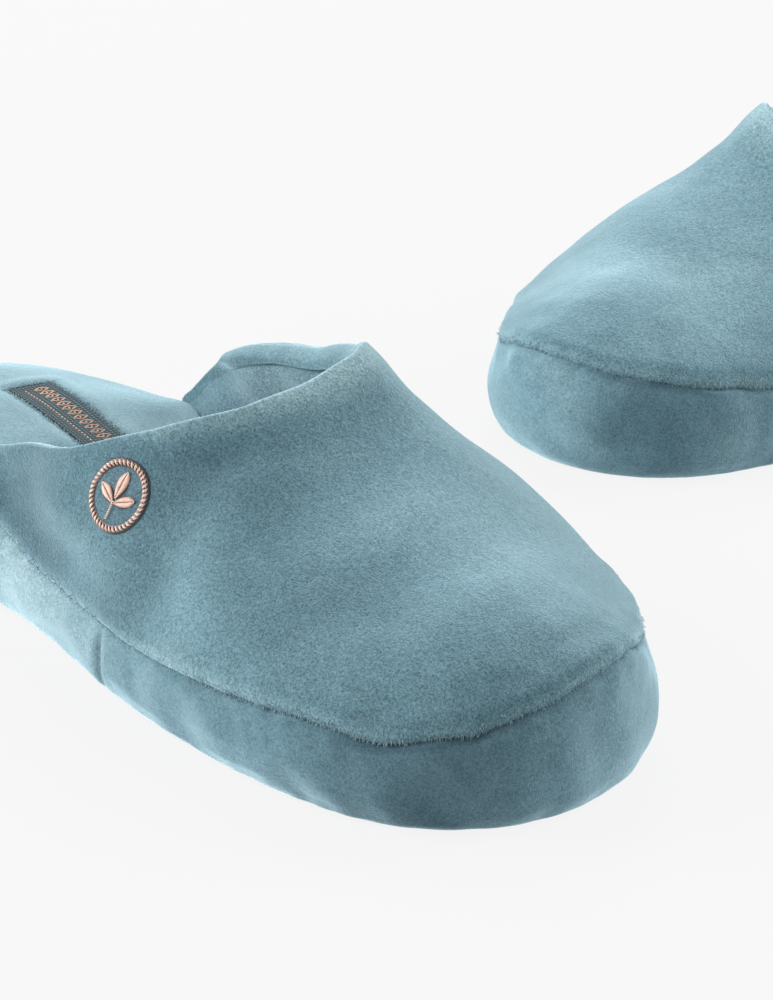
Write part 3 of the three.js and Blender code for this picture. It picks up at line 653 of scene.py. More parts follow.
def shell(side, front, back, start, edge_push, rows=ROWS, outer_fn=None, inner_fn=None, roll=12):
    """A closed curved sheet between depths front (outside) and back (inside), from start(e) to the toe."""
    x0 = start(SHARES)
    d_mid = (front + back) / 2
    out = []
    tip_f, tip_b = upper_end(front), upper_end(back)
    xf = x0[None, :] + (tip_f - x0)[None, :] * rows[:, None]
    pf, nf = upper_grid(side, front, xf, SHARES)
    if front > 0:
        pf = thinned(side, pf, xf)
    if outer_fn is not None:
        pf = outer_fn(pf, nf, xf, x0)
    xb = x0[None, :] + (tip_b - x0)[None, :] * rows[:, None]
    pb, nb = upper_grid(side, back, xb, SHARES)
    pb = thinned(side, pb, xb)
    if inner_fn is not None:
        pb = inner_fn(pb, nb, xb, x0)
    out.append(pf[::-1])
    # the rounded edge at the start, as half an ellipse from the outer to the inner face
    a, b = pf[0], pb[0]
    mid = (a + b) / 2
    back_dir = pf[0] - pf[2]
    back_dir /= np.linalg.norm(back_dir, axis=-1)[:, None]
    for k in range(1, roll):
        f = math.pi * k / roll
        reach = edge_push * np.minimum(1, np.linalg.norm(a - b, axis=-1) / (back - front))[:, None]
        out.append((mid + (a - mid) * math.cos(f) + back_dir * reach * math.sin(f))[None])
    out.append(pb)
    loop = np.concatenate(out, 0)
    rws, cols = loop.shape[:2]
    idx = np.arange(rws * cols).reshape(rws, cols)
    faces = []
    nxt = np.roll(idx, -1, 0)
    quads = np.stack([idx[:, :-1], idx[:, 1:], nxt[:, 1:], nxt[:, :-1]], -1).reshape(-1, 4)
    faces += quads.tolist()
    for c, flip in ((0, False), (cols - 1, True)):
        col = idx[:, c]
        n = len(rows) - 1
        for k in range(n):
            q = [col[k], col[k + 1], col[rws - 2 - k], col[rws - 1 - k]]
            faces.append(q[::-1] if flip else q)
        rest = list(col[n:rws - n])
        faces.append(rest[::-1] if flip else rest)
    return loop.reshape(-1, 3), faces


SHEETS = {}


def calm_tip(verts):
    """Evens out the pinch where the upper's columns of points meet at the toe."""
    grid = verts.reshape(-1, NE + 1, 3)
    outer = grid[: NX + 1]
    tip = outer[0, NE // 2].copy()
    w = np.exp(-((np.linalg.norm(outer - tip, axis=-1) / 7.0) ** 4))[..., None]
    w[0] = 0
    work = outer.copy()
    for _ in range(30):
        avg = work.copy()
        avg[1:-1, 1:-1] = (work[:-2, 1:-1] + work[2:, 1:-1] + work[1:-1, :-2] + work[1:-1, 2:]) / 4
        work = work + (avg - work) * w * 0.5
    grid[: NX + 1] = work
    return grid.reshape(-1, 3)


def build_upper(side):
    seed = {"right": 11, "left": 23}[side]
    slow, mid_w, pucker = Waves(seed, 46), Waves(seed + 1, 19), Waves(seed + 2, 8.5)

    def outer_fn(p, n, xs, x0):
        h = np.maximum(p[..., 2] - seam_height(side, p[..., 0], p[..., 1]) + 0.1, 0)
        from_edge = xs - x0[None, :]
        fade = smooth(from_edge / 12)
        lip = -1.9 * np.exp(-h / 1.1) + 1.25 * np.exp(-(((h - 3.6) / 3.8) ** 2))
        grow = fade * (0.26 * slow(p) + 0.14 * mid_w(p) * np.exp(-h / 30)) * smooth(h / 5)
        grow = grow + 0.26 * pucker(p) * np.exp(-h / 5) * smooth(h / 1.2)
        # the turned collar is padded: a low bead behind its edge
        grow = grow + 0.45 * gauss(from_edge, 5, 4) - 0.35 * gauss(from_edge, 13, 4)
        low = np.exp(-((h / 9) ** 2))[..., None]
        p = p - np.array([0, 0, 1]) * (0.95 * np.exp(-(((h - 1.8) / 2.2) ** 2)))[..., None]
        side_way = outward(p) * low + n * (1 - low)
        side_way /= np.linalg.norm(side_way, axis=-1)[..., None]
        p = p + n * grow[..., None] + side_way * lip[..., None]
        # the seam and the collar hold the cloth down, and the padding swells it between them
        held = (h[::3, ::3] < 1.5) | (from_edge[::3, ::3] < 2.5)
        return p + spread(puff(p[::3, ::3] - n[::3, ::3] * 0.5, n[::3, ::3], UPPER_T, held, 1.2, 2.0), p.shape[:2]) - n * (0.7 * smooth(h / 8) * smooth(from_edge / 8))[..., None]

    def inner_fn(p, n, xs, x0):
        from_edge = xs - x0[None, :]
        # the outer is turned in for TURN_IN and its edge drops to the padding
        push = -1.9 * (1 - smooth((from_edge - turn_in(SHARES)[None, :] + 0.4) / 1.0)) * smooth((1.0 - np.abs(SHARES)) / 0.14)[None, :] - 0.35 * gauss(from_edge, 2.6, 2.2)
        return p + n * (push + 0.25 * mid_w(p) * smooth(from_edge / 10))[..., None]

    verts, faces = shell(side, 0.0, UPPER_T, upper_start, 2.4, outer_fn=outer_fn, inner_fn=inner_fn)
    verts = calm_tip(verts)
    o = make(f"{side}_upper", verts, faces, MAT["upper"], side, merge=1e-6)
    SHEETS[side] = verts[: (NX + 1) * (NE + 1)].reshape(NX + 1, NE + 1, 3)[::-1]
    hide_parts(*[f"{side}_{n}" for n in (
        "vamp_outer", "vamp_padding", "outer_quarter_outer", "outer_quarter_padding", "inner_quarter_outer", "inner_quarter_padding")])

    patch = Waves(seed + 8, 60)

    def upper_nap(x, y, z):
        lo, hi = edge_y(0.3, x, "outer"), edge_y(0.3, x, "inner")
        ridge = (lo + hi) / 2 + offset(x)
        e = np.where(y < ridge, (y - ridge) / (ridge - lo), (y - ridge) / (hi - ridge))
        # painted highlight along the collar roll
        roll = np.exp(-(((x - topline_x(np.clip(e, -1, 1))) / 5) ** 2))
        h = z - seam_height(side, x, y)
        # painted highlight on the rounded hem just above the seam
        hem_highlight = np.exp(-(((h - 1.6) / 1.7) ** 2))
        turn = np.degrees(np.arctan2(y - 5, x - 200))
        # painted shade in the hollow before the ball on the outer side, low on the front of the toe, and on the rear of
        # the outer side panel
        painted_shade = 0.75 * gauss(x, 150, 15) * gauss(y, -34, 22) + 0.35 * gauss(turn, -55, 30) * smooth((40 - z) / 20) * smooth((x - 180) / 30)
        painted_shade = painted_shade + 0.85 * smooth((132 - x) / 25) * smooth((-12 - y) / 12)
        # painted highlights on the inner side towards the toe and on the top of the upper
        painted_highlight = 0.30 * gauss(y, 48, 26) * smooth((x - 150) / 60) + 0.25 * smooth((z - 60) / 16)
        # only the patch term is random tone of the pile
        return painted_highlight - painted_shade + 1.1 * roll + 0.45 * hem_highlight + 0.12 * patch(np.stack([x, y, z], -1))

    nap(o, side, upper_nap)
    wob = Waves(seed + 5, 21)
    folds = Waves(seed + 6, 34)

    def lining_in(p, n, xs, x0):
        from_edge = xs - x0[None, :]
        puff = -1.1 * gauss(from_edge, 6, 6) * smooth(from_edge / 1.5) - 0.35 * wob(p) - 0.5 * folds(p) * smooth(from_edge / 12)
        return p + n * puff[..., None]

    lv, lf = shell(side, UPPER_T + 0.35, UPPER_T + LINING_T, lambda e: upper_start(e) + turn_in(e) + 0.65, 0.4, inner_fn=lining_in, roll=8)
    lining = make(f"{side}_upper_lining", lv, lf, MAT["lining"], side, merge=1e-6)
    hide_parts(*[f"{side}_{n}" for n in ("vamp_lining", "outer_quarter_lining", "inner_quarter_lining")])
    nap(lining, side, lambda x, y, z: 0.25 * patch(np.stack([x, y, z], -1)))
    return o, lining


# ------------------------------------------------------------------ slabs over the outline
def slab_points(rows, cols, heel_inset, toe_inset, blend=((0, 1), (0, 1))):
    """Plan stations: x rows by columns, closing to a point at the heel and at the toe."""
    a, b = sides(heel_inset), sides(toe_inset)
    t = np.linspace(0, 1, rows + 1)
    x = a["heel"][0] + (b["toe"][0] - a["heel"][0]) * (1 - np.cos(math.pi * t)) / 2
    w, v = (smooth((x - b0) / (b1 - b0)) for b0, b1 in blend)
    y0 = (1 - w) * edge_y(heel_inset, x, "outer") + w * edge_y(toe_inset, x, "outer")
    y1 = (1 - v) * edge_y(heel_inset, x, "inner") + v * edge_y(toe_inset, x, "inner")
    y0[0] = y1[0] = a["heel"][1]
    y0[-1] = y1[-1] = b["toe"][1]
    c = np.sin(np.linspace(-math.pi / 2, math.pi / 2, cols + 1))
    y = (y0 + y1)[:, None] / 2 + c[None, :] * (y1 - y0)[:, None] / 2
    return np.broadcast_to(x[:, None], y.shape), y, c


def slab(x, y, top, bottom, side_rows=3):
    """A closed body from its plan stations and the heights of its two faces."""
    rws, cols = x.shape
    up = np.stack([x, y, top], -1)
    down = np.stack([x, y, bottom], -1)
    verts = [up.reshape(-1, 3), down.reshape(-1, 3)]
    idx = np.arange(rws * cols).reshape(rws, cols)
    n = rws * cols
    faces = []
    q = np.stack([idx[:-1, :-1], idx[1:, :-1], idx[1:, 1:], idx[:-1, 1:]], -1).reshape(-1, 4)
    faces += q.tolist()
    faces += (q[:, ::-1] + n).tolist()
    base = 2 * n
    for c, flip in ((0, False), (cols - 1, True)):
        ladder = [idx[:, c]]
        for k in range(1, side_rows):
            f = k / side_rows
            verts.append(up[:, c] * (1 - f) + down[:, c] * f)
            ladder.append(np.arange(base, base + rws))
            base += rws
        ladder.append(idx[:, c] + n)
        for a, b in zip(ladder[:-1], ladder[1:]):
            s = np.stack([a[:-1], b[:-1], b[1:], a[1:]], -1)
            faces += (s[:, ::-1] if flip else s).tolist()
    return np.vstack(verts), faces


BED_INSET = 7.7
# where it draws in under the outer and the inner side panel
BED_NARROWS = ((76, 93), (71, 87))


BED_DROP = Table([(-3, 3.2), (60, 3.2), (105, 0.8), (258, 0.8)])


def bed_top(x, y, dist, share, waves=None):
    top = bed_z(x) - 0.5 - BED_DROP(x) * np.abs(share) ** 3
    lift = 1.5 * smooth(dist / 26) - 0.4
    r = 4.6 - 3.3 * smooth((x - 60) / 12)
    t = np.clip(dist / r, 0, 1)
    edge = r * 0.72 * (1 - np.sqrt(np.maximum(0, 1 - (1 - t) ** 2)))
    z = top + lift - edge
    if waves is not None:
        z = z + 0.30 * waves(np.stack([x, y, 0 * x], -1)) * smooth(dist / 8)
    return z


def bed_distance(x, y):
    """Distance from the foot-bed's own edge."""
    w, v = (smooth((x - b0) / (b1 - b0)) for b0, b1 in BED_NARROWS)
    w = w + (v - w) * smooth((y + 12) / 30)
    return edge_distance(np.stack([x, y], -1).reshape(-1, 2)).reshape(x.shape) - (1.2 * (1 - w) + BED_INSET * w)


def build_bed(side):
    waves = Waves({"right": 41, "left": 47}[side], 38)
    x, y, c = slab_points(170, 70, 1.2, BED_INSET, BED_NARROWS)
    dist = np.maximum(bed_distance(x, y), 0)
    dist[:, 0] = dist[:, -1] = 0
    dist[0] = dist[-1] = 0
    top = bed_top(x, y, dist, c[None, :], waves)
    grid = np.stack([x, y, top], -1)[::2, ::2]
    r2, c2 = grid.shape[:2]
    held = dist[::2, ::2] < 3.0
    up = np.zeros_like(grid)
    up[..., 2] = 1
    swell = puff(grid, up, 2.6, held, 0.9, 1.6)[..., 2]
    top = top + spread(np.repeat(swell[..., None], 3, -1), x.shape, 2)[..., 2] - 0.5 * smooth(dist / 8)
    # the label is sewn down, so the pile stands a little round it
    c_, s_ = math.cos(LABEL["turn"]), math.sin(LABEL["turn"])
    a = (x - LABEL["x"]) * c_ + (y - LABEL["y"]) * s_
    b = -(x - LABEL["x"]) * s_ + (y - LABEL["y"]) * c_
    out = np.maximum(np.abs(a) - LABEL["length"] / 2, np.abs(b) - LABEL["width"] / 2)
    top = top - 0.8 * smooth(0.5 - out / 3.0) + 0.35 * gauss(out, 3.4, 2.2)
    # inside the toe its edge turns up against the platform's rim, under the lining
    rise = np.maximum(seam_z(x) + shift_at(side, x, y) + 0.3 - top, 0)
    top = top + rise * (1 - smooth(dist / 3.0)) * smooth((x - 112) / 16)
    bottom = np.minimum(top - 1.2, bed_z(x) - 3.4 - BED_DROP(x) * np.abs(c[None, :]) ** 3)
    # its border reaches down to the band where the foot-bed draws in behind the side panels
    skirt = smooth((x - 50) / 10) * (1 - smooth((x - 98) / 8)) * (dist < 1.2)
    bottom = bottom + (np.minimum(bottom, seam_z(x) + shift_at(side, x, y) - 0.1) - bottom) * skirt
    verts, faces = slab(x, y, top, bottom)
    sock = make(f"{side}_footbed_sock", verts, faces, MAT["sock"], side, merge=1e-6)
    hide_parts(f"{side}_footbed_sock_rear", f"{side}_footbed_sock_front")
    # the sock is darker towards its outer side, painted shade; the waves add random tone of the pile
    nap(sock, side, lambda x, y, z: -0.25 * smooth((8 - y) / 40) + 0.15 * waves(np.stack([x, y, z], -1)))
    # foam cushion under it
    x, y, c = slab_points(80, 24, 2.0, BED_INSET + 0.8, ((56, 68), (56, 68)))
    top = bed_z(x) - 3.8 - BED_DROP(x) * np.abs(c[None, :]) ** 3
    floor = np.minimum(seam_z(x) + 0.3, Table([(-3, 40), (62, 40), (87, 23.2), (110, 17.6), (140, 16), (180, 15.5), (230, 15.5), (258, 17)])(x))
    bottom = np.minimum(floor + 0.7, top - 0.8)
    verts, faces = slab(x, y, top, bottom)
    foam = make(f"{side}_footbed_foam", verts, faces, MAT["foam"], side, merge=1e-6)
    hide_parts(f"{side}_footbed_foam_rear", f"{side}_footbed_foam_front")
    return sock, foam


def build_platform(side):
    x, y, c = slab_points(110, 40, 3.4, 3.4)
    rec = Table([(-3, 40), (62, 40), (87, 23.2), (110, 17.6), (140, 16), (180, 15.5), (230, 15.5), (258, 17)])(x)
    d = edge_distance(np.stack([x, y], -1).reshape(-1, 2)).reshape(x.shape)
    rim = seam_z(x) + shift_at(side, x, y) - 2.2
    inside = smooth((d - 6.6) / 1.6)
    top = np.where(rec < rim, rim + (rec - rim) * inside, rim)
    verts, faces = slab(x, y, top, np.full(x.shape, 2.9))
    o = make(f"{side}_platform", verts, faces, MAT["platform"], side, merge=1e-6)
    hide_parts(f"{side}_platform_rear", f"{side}_platform_front")
    return o


def build_outsole(side):
    x, y, c = slab_points(110, 30, 2.4, 2.4)
    verts, faces = slab(x, y, np.full(x.shape, 2.5), np.full(x.shape, 0.7), 2)
    verts, faces = [verts], list(faces)
    base = len(verts[0])
    # low round studs on the tread
    pitch, r, sides_n = 6.2, 2.0, 10
    line = []
    for i in range(int(270 / (pitch * 0.866)) + 1):
        for j in range(-12, 13):
            line.append((i * pitch * 0.866 + 2, j * pitch + (pitch / 2 if i % 2 else 0) + 4))
    line = np.array(line)
    line = line[edge_distance(line) > 5.2]
    ang = np.linspace(0, 2 * math.pi, sides_n, endpoint=False)
    for px, py in line:
        rings = []
        for rr, zz in ((r, 0.95), (r * 0.97, 0.45), (r * 0.8, 0.12), (r * 0.45, 0.02)):
            rings.append(np.stack([px + rr * np.cos(ang), py + rr * np.sin(ang), np.full(sides_n, zz)], -1))
        verts.append(np.vstack(rings))
        for k in range(3):
            for a in range(sides_n):
                b = (a + 1) % sides_n
                faces.append((base + k * sides_n + a, base + k * sides_n + b, base + (k + 1) * sides_n + b, base + (k + 1) * sides_n + a))
        faces.append([base + 3 * sides_n + a for a in range(sides_n)])
        faces.append([base + a for a in range(sides_n)][::-1])
        base += 4 * sides_n
    o = make(f"{side}_outsole", np.vstack(verts), faces, MAT["tread"], side, merge=1e-6)
    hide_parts(f"{side}_outsole_rear", f"{side}_outsole_front")
    return o


def build_wall(side):
    """The plush band round the platform, one padded loop with a sewn join on each side."""
    seed = {"right": 61, "left": 67}[side]
    slow, mid_w, pucker = Waves(seed, 52), Waves(seed + 1, 20), Waves(seed + 2, 9)
    n = 620
    at = np.linspace(0, DENSE, n, endpoint=False)
    i0 = np.floor(at).astype(int) % DENSE
    f = (at % 1)[:, None]
    p = PLAN[i0] * (1 - f) + PLAN[(i0 + 1) % DENSE] * f
    nn = NORMAL[i0] * (1 - f) + NORMAL[(i0 + 1) % DENSE] * f
    nn /= np.linalg.norm(nn, axis=1)[:, None]
    nn3 = np.c_[nn, np.zeros(n)]
    high = seam_height(side, p[:, 0], p[:, 1])
    arc = at / DENSE * PERIMETER
    # the two upright joins, as distance along the band
    joins = []
    for which in ("outer", "inner"):
        k = [j for j in range(n) if (p[j, 1] < 0) == (which == "outer")]
        joins.append(arc[min(k, key=lambda j: abs(p[j, 0] - SIDE_SEAM_X))])
    prof = [  # share of the height, outward offset; from the inside of the foot round the outside to the top
        (0.030, -5.2), (0.012, -3.6), (0.006, -2.4), (0.022, -1.3), (0.055, -0.45), (0.10, 0.35), (0.16, 1.05), (0.23, 1.60), (0.31, 2.0),
        (0.40, 2.28), (0.50, 2.42), (0.60, 2.42), (0.70, 2.28), (0.79, 1.95), (0.87, 1.40), (0.93, 0.7), (0.975, -0.4), (1.0, -1.8), (1.0, -3.0),
        (0.985, -4.6), (0.955, -4.6), (0.93, -3.3), (0.70, -3.1), (0.45, -3.1), (0.20, -3.1), (0.10, -3.4),
    ]
    # refine the outside of the profile
    prof = np.array(prof)
    m = len(prof)
    tt = np.arange(m + 1)
    loop = np.vstack([prof, prof[:1]])
    fine = np.unique(np.r_[np.arange(0, 19, 0.5), np.arange(19, m, 1.0)])
    share = np.interp(fine, tt, loop[:, 0])
    off = np.interp(fine, tt, loop[:, 1])
    for _ in range(1):
        sm = slice(1, int(np.sum(fine < 17)))
        share[sm] = (np.roll(share, 1) + 2 * share + np.roll(share, -1))[sm] / 4
        off[sm] = (np.roll(off, 1) + 2 * off + np.roll(off, -1))[sm] / 4
    # round the inner side of the toe the band leans in under the upper's hem
    lean_in = 1.7 * gauss(np.degrees(np.arctan2(p[:, 1] - 5, p[:, 0] - 200)), 38, 26) * smooth((p[:, 0] - 195) / 20)
    verts = np.zeros((n, len(share), 3))
    face_side = np.exp(-(((share - 0.5) / 0.42) ** 4)) * (off > -1.5)
    for k in range(len(share)):
        z0, z1 = 0.55, high - 0.05 - 0.5 * smooth((p[:, 0] - 175) / 45)
        z = z0 + share[k] * (z1 - z0)
        o = off[k] - lean_in * smooth((share[k] - 0.42) / 0.4)
        pts = np.stack([p[:, 0], p[:, 1], z], -1)
        if off[k] > -2.6 and 0.0 < share[k] < 0.995:
            soft = face_side[k]
            o = o + soft * (0.50 * slow(pts) + 0.30 * mid_w(pts)) + 0.28 * pucker(pts) * math.exp(-((1 - share[k]) * 26 / 5)) * (share[k] < 0.99)
            o = o + 0.12 * pucker(pts + 40) * math.exp(-(share[k] * 26 / 5))
            for j in joins:
                gap = np.abs((arc - j + PERIMETER / 2) % PERIMETER - PERIMETER / 2)
                o = o + soft * (-1.7 * np.exp(-((gap / 0.9) ** 2)) + 0.55 * np.exp(-(((gap - 3.2) / 2.2) ** 2)))
        verts[:, k, 0] = p[:, 0] + nn[:, 0] * o
        verts[:, k, 1] = p[:, 1] + nn[:, 1] * o
        verts[:, k, 2] = z
    # held at its two seams and its joins, swollen by the padding in between
    face = [k for k in range(len(share)) if off[k] > -1.6 and fine[k] < 19]
    band = verts[::4][:, face]
    along = np.roll(band, -1, 0) - np.roll(band, 1, 0)
    up = np.gradient(band, axis=1)
    out = np.cross(along, up)
    out /= np.linalg.norm(out, axis=-1)[..., None] + 1e-9
    if (out[..., :2] * nn[::4][:, None]).sum() < 0:
        out = -out
    at_join = np.zeros(len(band), bool)
    for j in joins:
        at_join |= np.abs((arc[::4] - j + PERIMETER / 2) % PERIMETER - PERIMETER / 2) < 1.4
    held = np.zeros(band.shape[:2], bool)
    held[:, :2] = held[:, -2:] = True
    held |= at_join[:, None]
    move = puff(band, out, 3.0, held, 0.9, 2.5, wrap=True, slack=-0.003)
    s4 = np.arange(n) / 4
    ring = np.vstack([move.reshape(len(move), -1), move[:1].reshape(1, -1)])
    full = np.stack([np.interp(s4, np.arange(len(ring)), ring[:, k]) for k in range(ring.shape[1])], -1).reshape(n, len(face), 3)
    for _ in range(22):
        full = (np.roll(full, 1, 0) + 2 * full + np.roll(full, -1, 0)) / 4
    verts[:, face] += full - nn3[:, None] * 0.5 * face_side[face][None, :, None]
    rws, cols = n, len(share)
    idx = np.arange(rws * cols).reshape(rws, cols)
    a, b = idx, np.roll(idx, -1, 0)
    faces = np.stack([a, b, np.roll(b, -1, 1), np.roll(a, -1, 1)], -1).reshape(-1, 4).tolist()
    o = make(f"{side}_wall_cover", verts.reshape(-1, 3), faces, MAT["wall"], side)
    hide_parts(*[f"{side}_{k}_wall_cover" for k in ("toe", "outer", "inner", "heel")])
    streak = Waves(seed + 4, 30)

    def wall_nap(x, y, z):
        turn = np.degrees(np.arctan2(y - 5, x - 200))
        # painted shade on the front of the toe; on the left slipper it is a faint lightening instead
        front_shade = gauss(turn, -44 if side == "right" else -36, 26) * smooth((x - 190) / 20)
        # painted highlight: lighter towards the rear of the band
        back = smooth((175 - x) / 80)
        # painted shade low on the band
        low = 0.45 * smooth((9 - z) / 7) * (1 - 0.6 * back)
        # painted shade in the crease under the toe's hem
        low = low + 0.8 * smooth((z - seam_height(side, x, y) + 2.6) / 1.8) * gauss(turn, -42, 17) * smooth((x - 190) / 20)
        # the streak term is random tone of the pile
        return 1.0 * back - (0.50 if side == "right" else -0.05) * front_shade - low + 0.22 * streak(np.stack([x, y, z * 0.6], -1)) * (0.3 if side == "right" else 1.0)

    nap(o, side, wall_nap)
    SHEETS[side + "_wall"] = verts
    return o


# ------------------------------------------------------------------ label and badge
def capsule(a, b, width, height, normal, sides_n=8, rings=5, belly=0.0):
    """A flattened thread from a to b lying on a surface with that normal."""
    a, b, normal = (np.asarray(v, float) for v in (a, b, normal))
    along = b - a
    length = np.linalg.norm(along)
    along = along / length
    across = np.cross(normal, along)
    across /= np.linalg.norm(across)
    up = np.cross(along, across)
    verts, faces = [], []
    for i in range(rings + 1):
        t = i / rings
        s = math.sin(math.pi * min(max(t, 0.04), 0.96)) ** 0.45
        c = a + along * length * t + up * belly * math.sin(math.pi * t)
        for k in range(sides_n):
            f = 2 * math.pi * k / sides_n
            verts.append(c + across * math.cos(f) * width / 2 * s + up * math.sin(f) * height / 2 * s)
    for i in range(rings):
        for k in range(sides_n):
            l = (k + 1) % sides_n
            faces.append((i * sides_n + k, i * sides_n + l, (i + 1) * sides_n + l, (i + 1) * sides_n + k))
    faces.append(list(range(sides_n))[::-1])
    faces.append([rings * sides_n + k for k in range(sides_n)])
    return np.array(verts), faces


def joined(parts):
    verts, faces, base = [], [], 0
    for v, f in parts:
        verts.append(np.asarray(v))
        faces += [[i + base for i in q] for q in f]
        base += len(v)
    return np.vstack(verts), faces


class OnSurface:
    """Takes small flat artwork to the surface of a finished piece, in the slipper's own frame."""

    def __init__(self, obj, side, centre, right, up):
        self.side = side
        self.tree = BVHTree.FromObject(obj, bpy.context.evaluated_depsgraph_get())
        self.c, self.r, self.u = (np.asarray(v, float) for v in (centre, right, up))
        self.r /= np.linalg.norm(self.r)
        self.n = np.cross(self.r, self.u)
        self.n /= np.linalg.norm(self.n)
        self.u = np.cross(self.n, self.r)

    def hit(self, a, b):
        start = self.c + self.r * a + self.u * b + self.n * 12
        w = place(self.side, np.stack([start, start - self.n]))
        ray = Vector(w[1] - w[0]).normalized()
        loc, nor, _, _ = self.tree.ray_cast(Vector(w[0]), ray)
        if loc is None:
            return start - self.n * 12
        return start - self.n * ((loc - Vector(w[0])).length * 1000)

    def lay(self, verts, sink=0.0):
        """verts as (a, b, height over the surface)."""
        out = np.empty((len(verts), 3))
        for i, (a, b, h) in enumerate(verts):
            out[i] = self.hit(a, b) + self.n * (h - sink)
        return out


def fibres(name, side, sheet, weight, per_mm2, length, lean, seed, material, slot):
    """Short tapered fibres rooted on a sheet of points[row, column], where weight[row, column] lets them grow."""
    rng = np.random.default_rng(seed)
    a, b, c, d = sheet[:-1, :-1], sheet[1:, :-1], sheet[1:, 1:], sheet[:-1, 1:]
    n = np.cross(c - a, d - b)
    size = np.linalg.norm(n, axis=-1)
    n = n / (size[..., None] + 1e-12)
    centre = (a + b + c + d) / 4
    if (n * (centre - np.array([170, 5, -20]))).sum() < 0:
        n = -n
    w = (weight[:-1, :-1] + weight[1:, 1:]) / 2 * size / 2
    expect = w.ravel() * per_mm2
    count = np.floor(expect + rng.uniform(size=expect.shape)).astype(int)
    k = np.repeat(np.arange(len(expect)), count)
    u, v = rng.uniform(size=(2, len(k)))[:, :, None]
    flat = [q.reshape(-1, 3)[k] for q in (a, b, c, d)]
    root = (flat[0] * (1 - u) + flat[1] * u) * (1 - v) + (flat[3] * (1 - u) + flat[2] * u) * v
    nn = n.reshape(-1, 3)[k]
    way = nn * lean[0] + np.array([0, 0, -1]) * lean[1] + rng.normal(size=root.shape) * lean[2]
    way /= np.linalg.norm(way, axis=1)[:, None]
    long = (length[0] + (length[1] - length[0]) * rng.uniform(size=len(k)))[:, None]
    across = np.cross(way, nn + rng.normal(size=root.shape) * 0.4)
    across /= np.linalg.norm(across, axis=1)[:, None] + 1e-9
    other = np.cross(way, across)
    wide = 0.10
    base = root - nn * 0.25
    mid = base + way * long * 0.6
    tip = base + way * long + np.array([0, 0, -1]) * long * 0.12
    verts = np.stack([base + across * wide, base - across * wide * 0.6 + other * wide, base - across * wide * 0.6 - other * wide,
                      mid + across * wide * 0.8, mid - across * wide * 0.5 + other * wide * 0.8, mid - across * wide * 0.5 - other * wide * 0.8, tip], 1)
    shape = [(0, 2, 1), (0, 1, 4, 3), (1, 2, 5, 4), (2, 0, 3, 5), (3, 4, 6), (4, 5, 6), (5, 3, 6)]
    first = np.arange(len(k)) * 7
    faces = [tuple(int(f + i) for i in q) for f in first for q in shape]
    o = make(name, verts.reshape(-1, 3), faces, material, side)
    nap(o, side, lambda x, y, z: 0 * x)
    return o


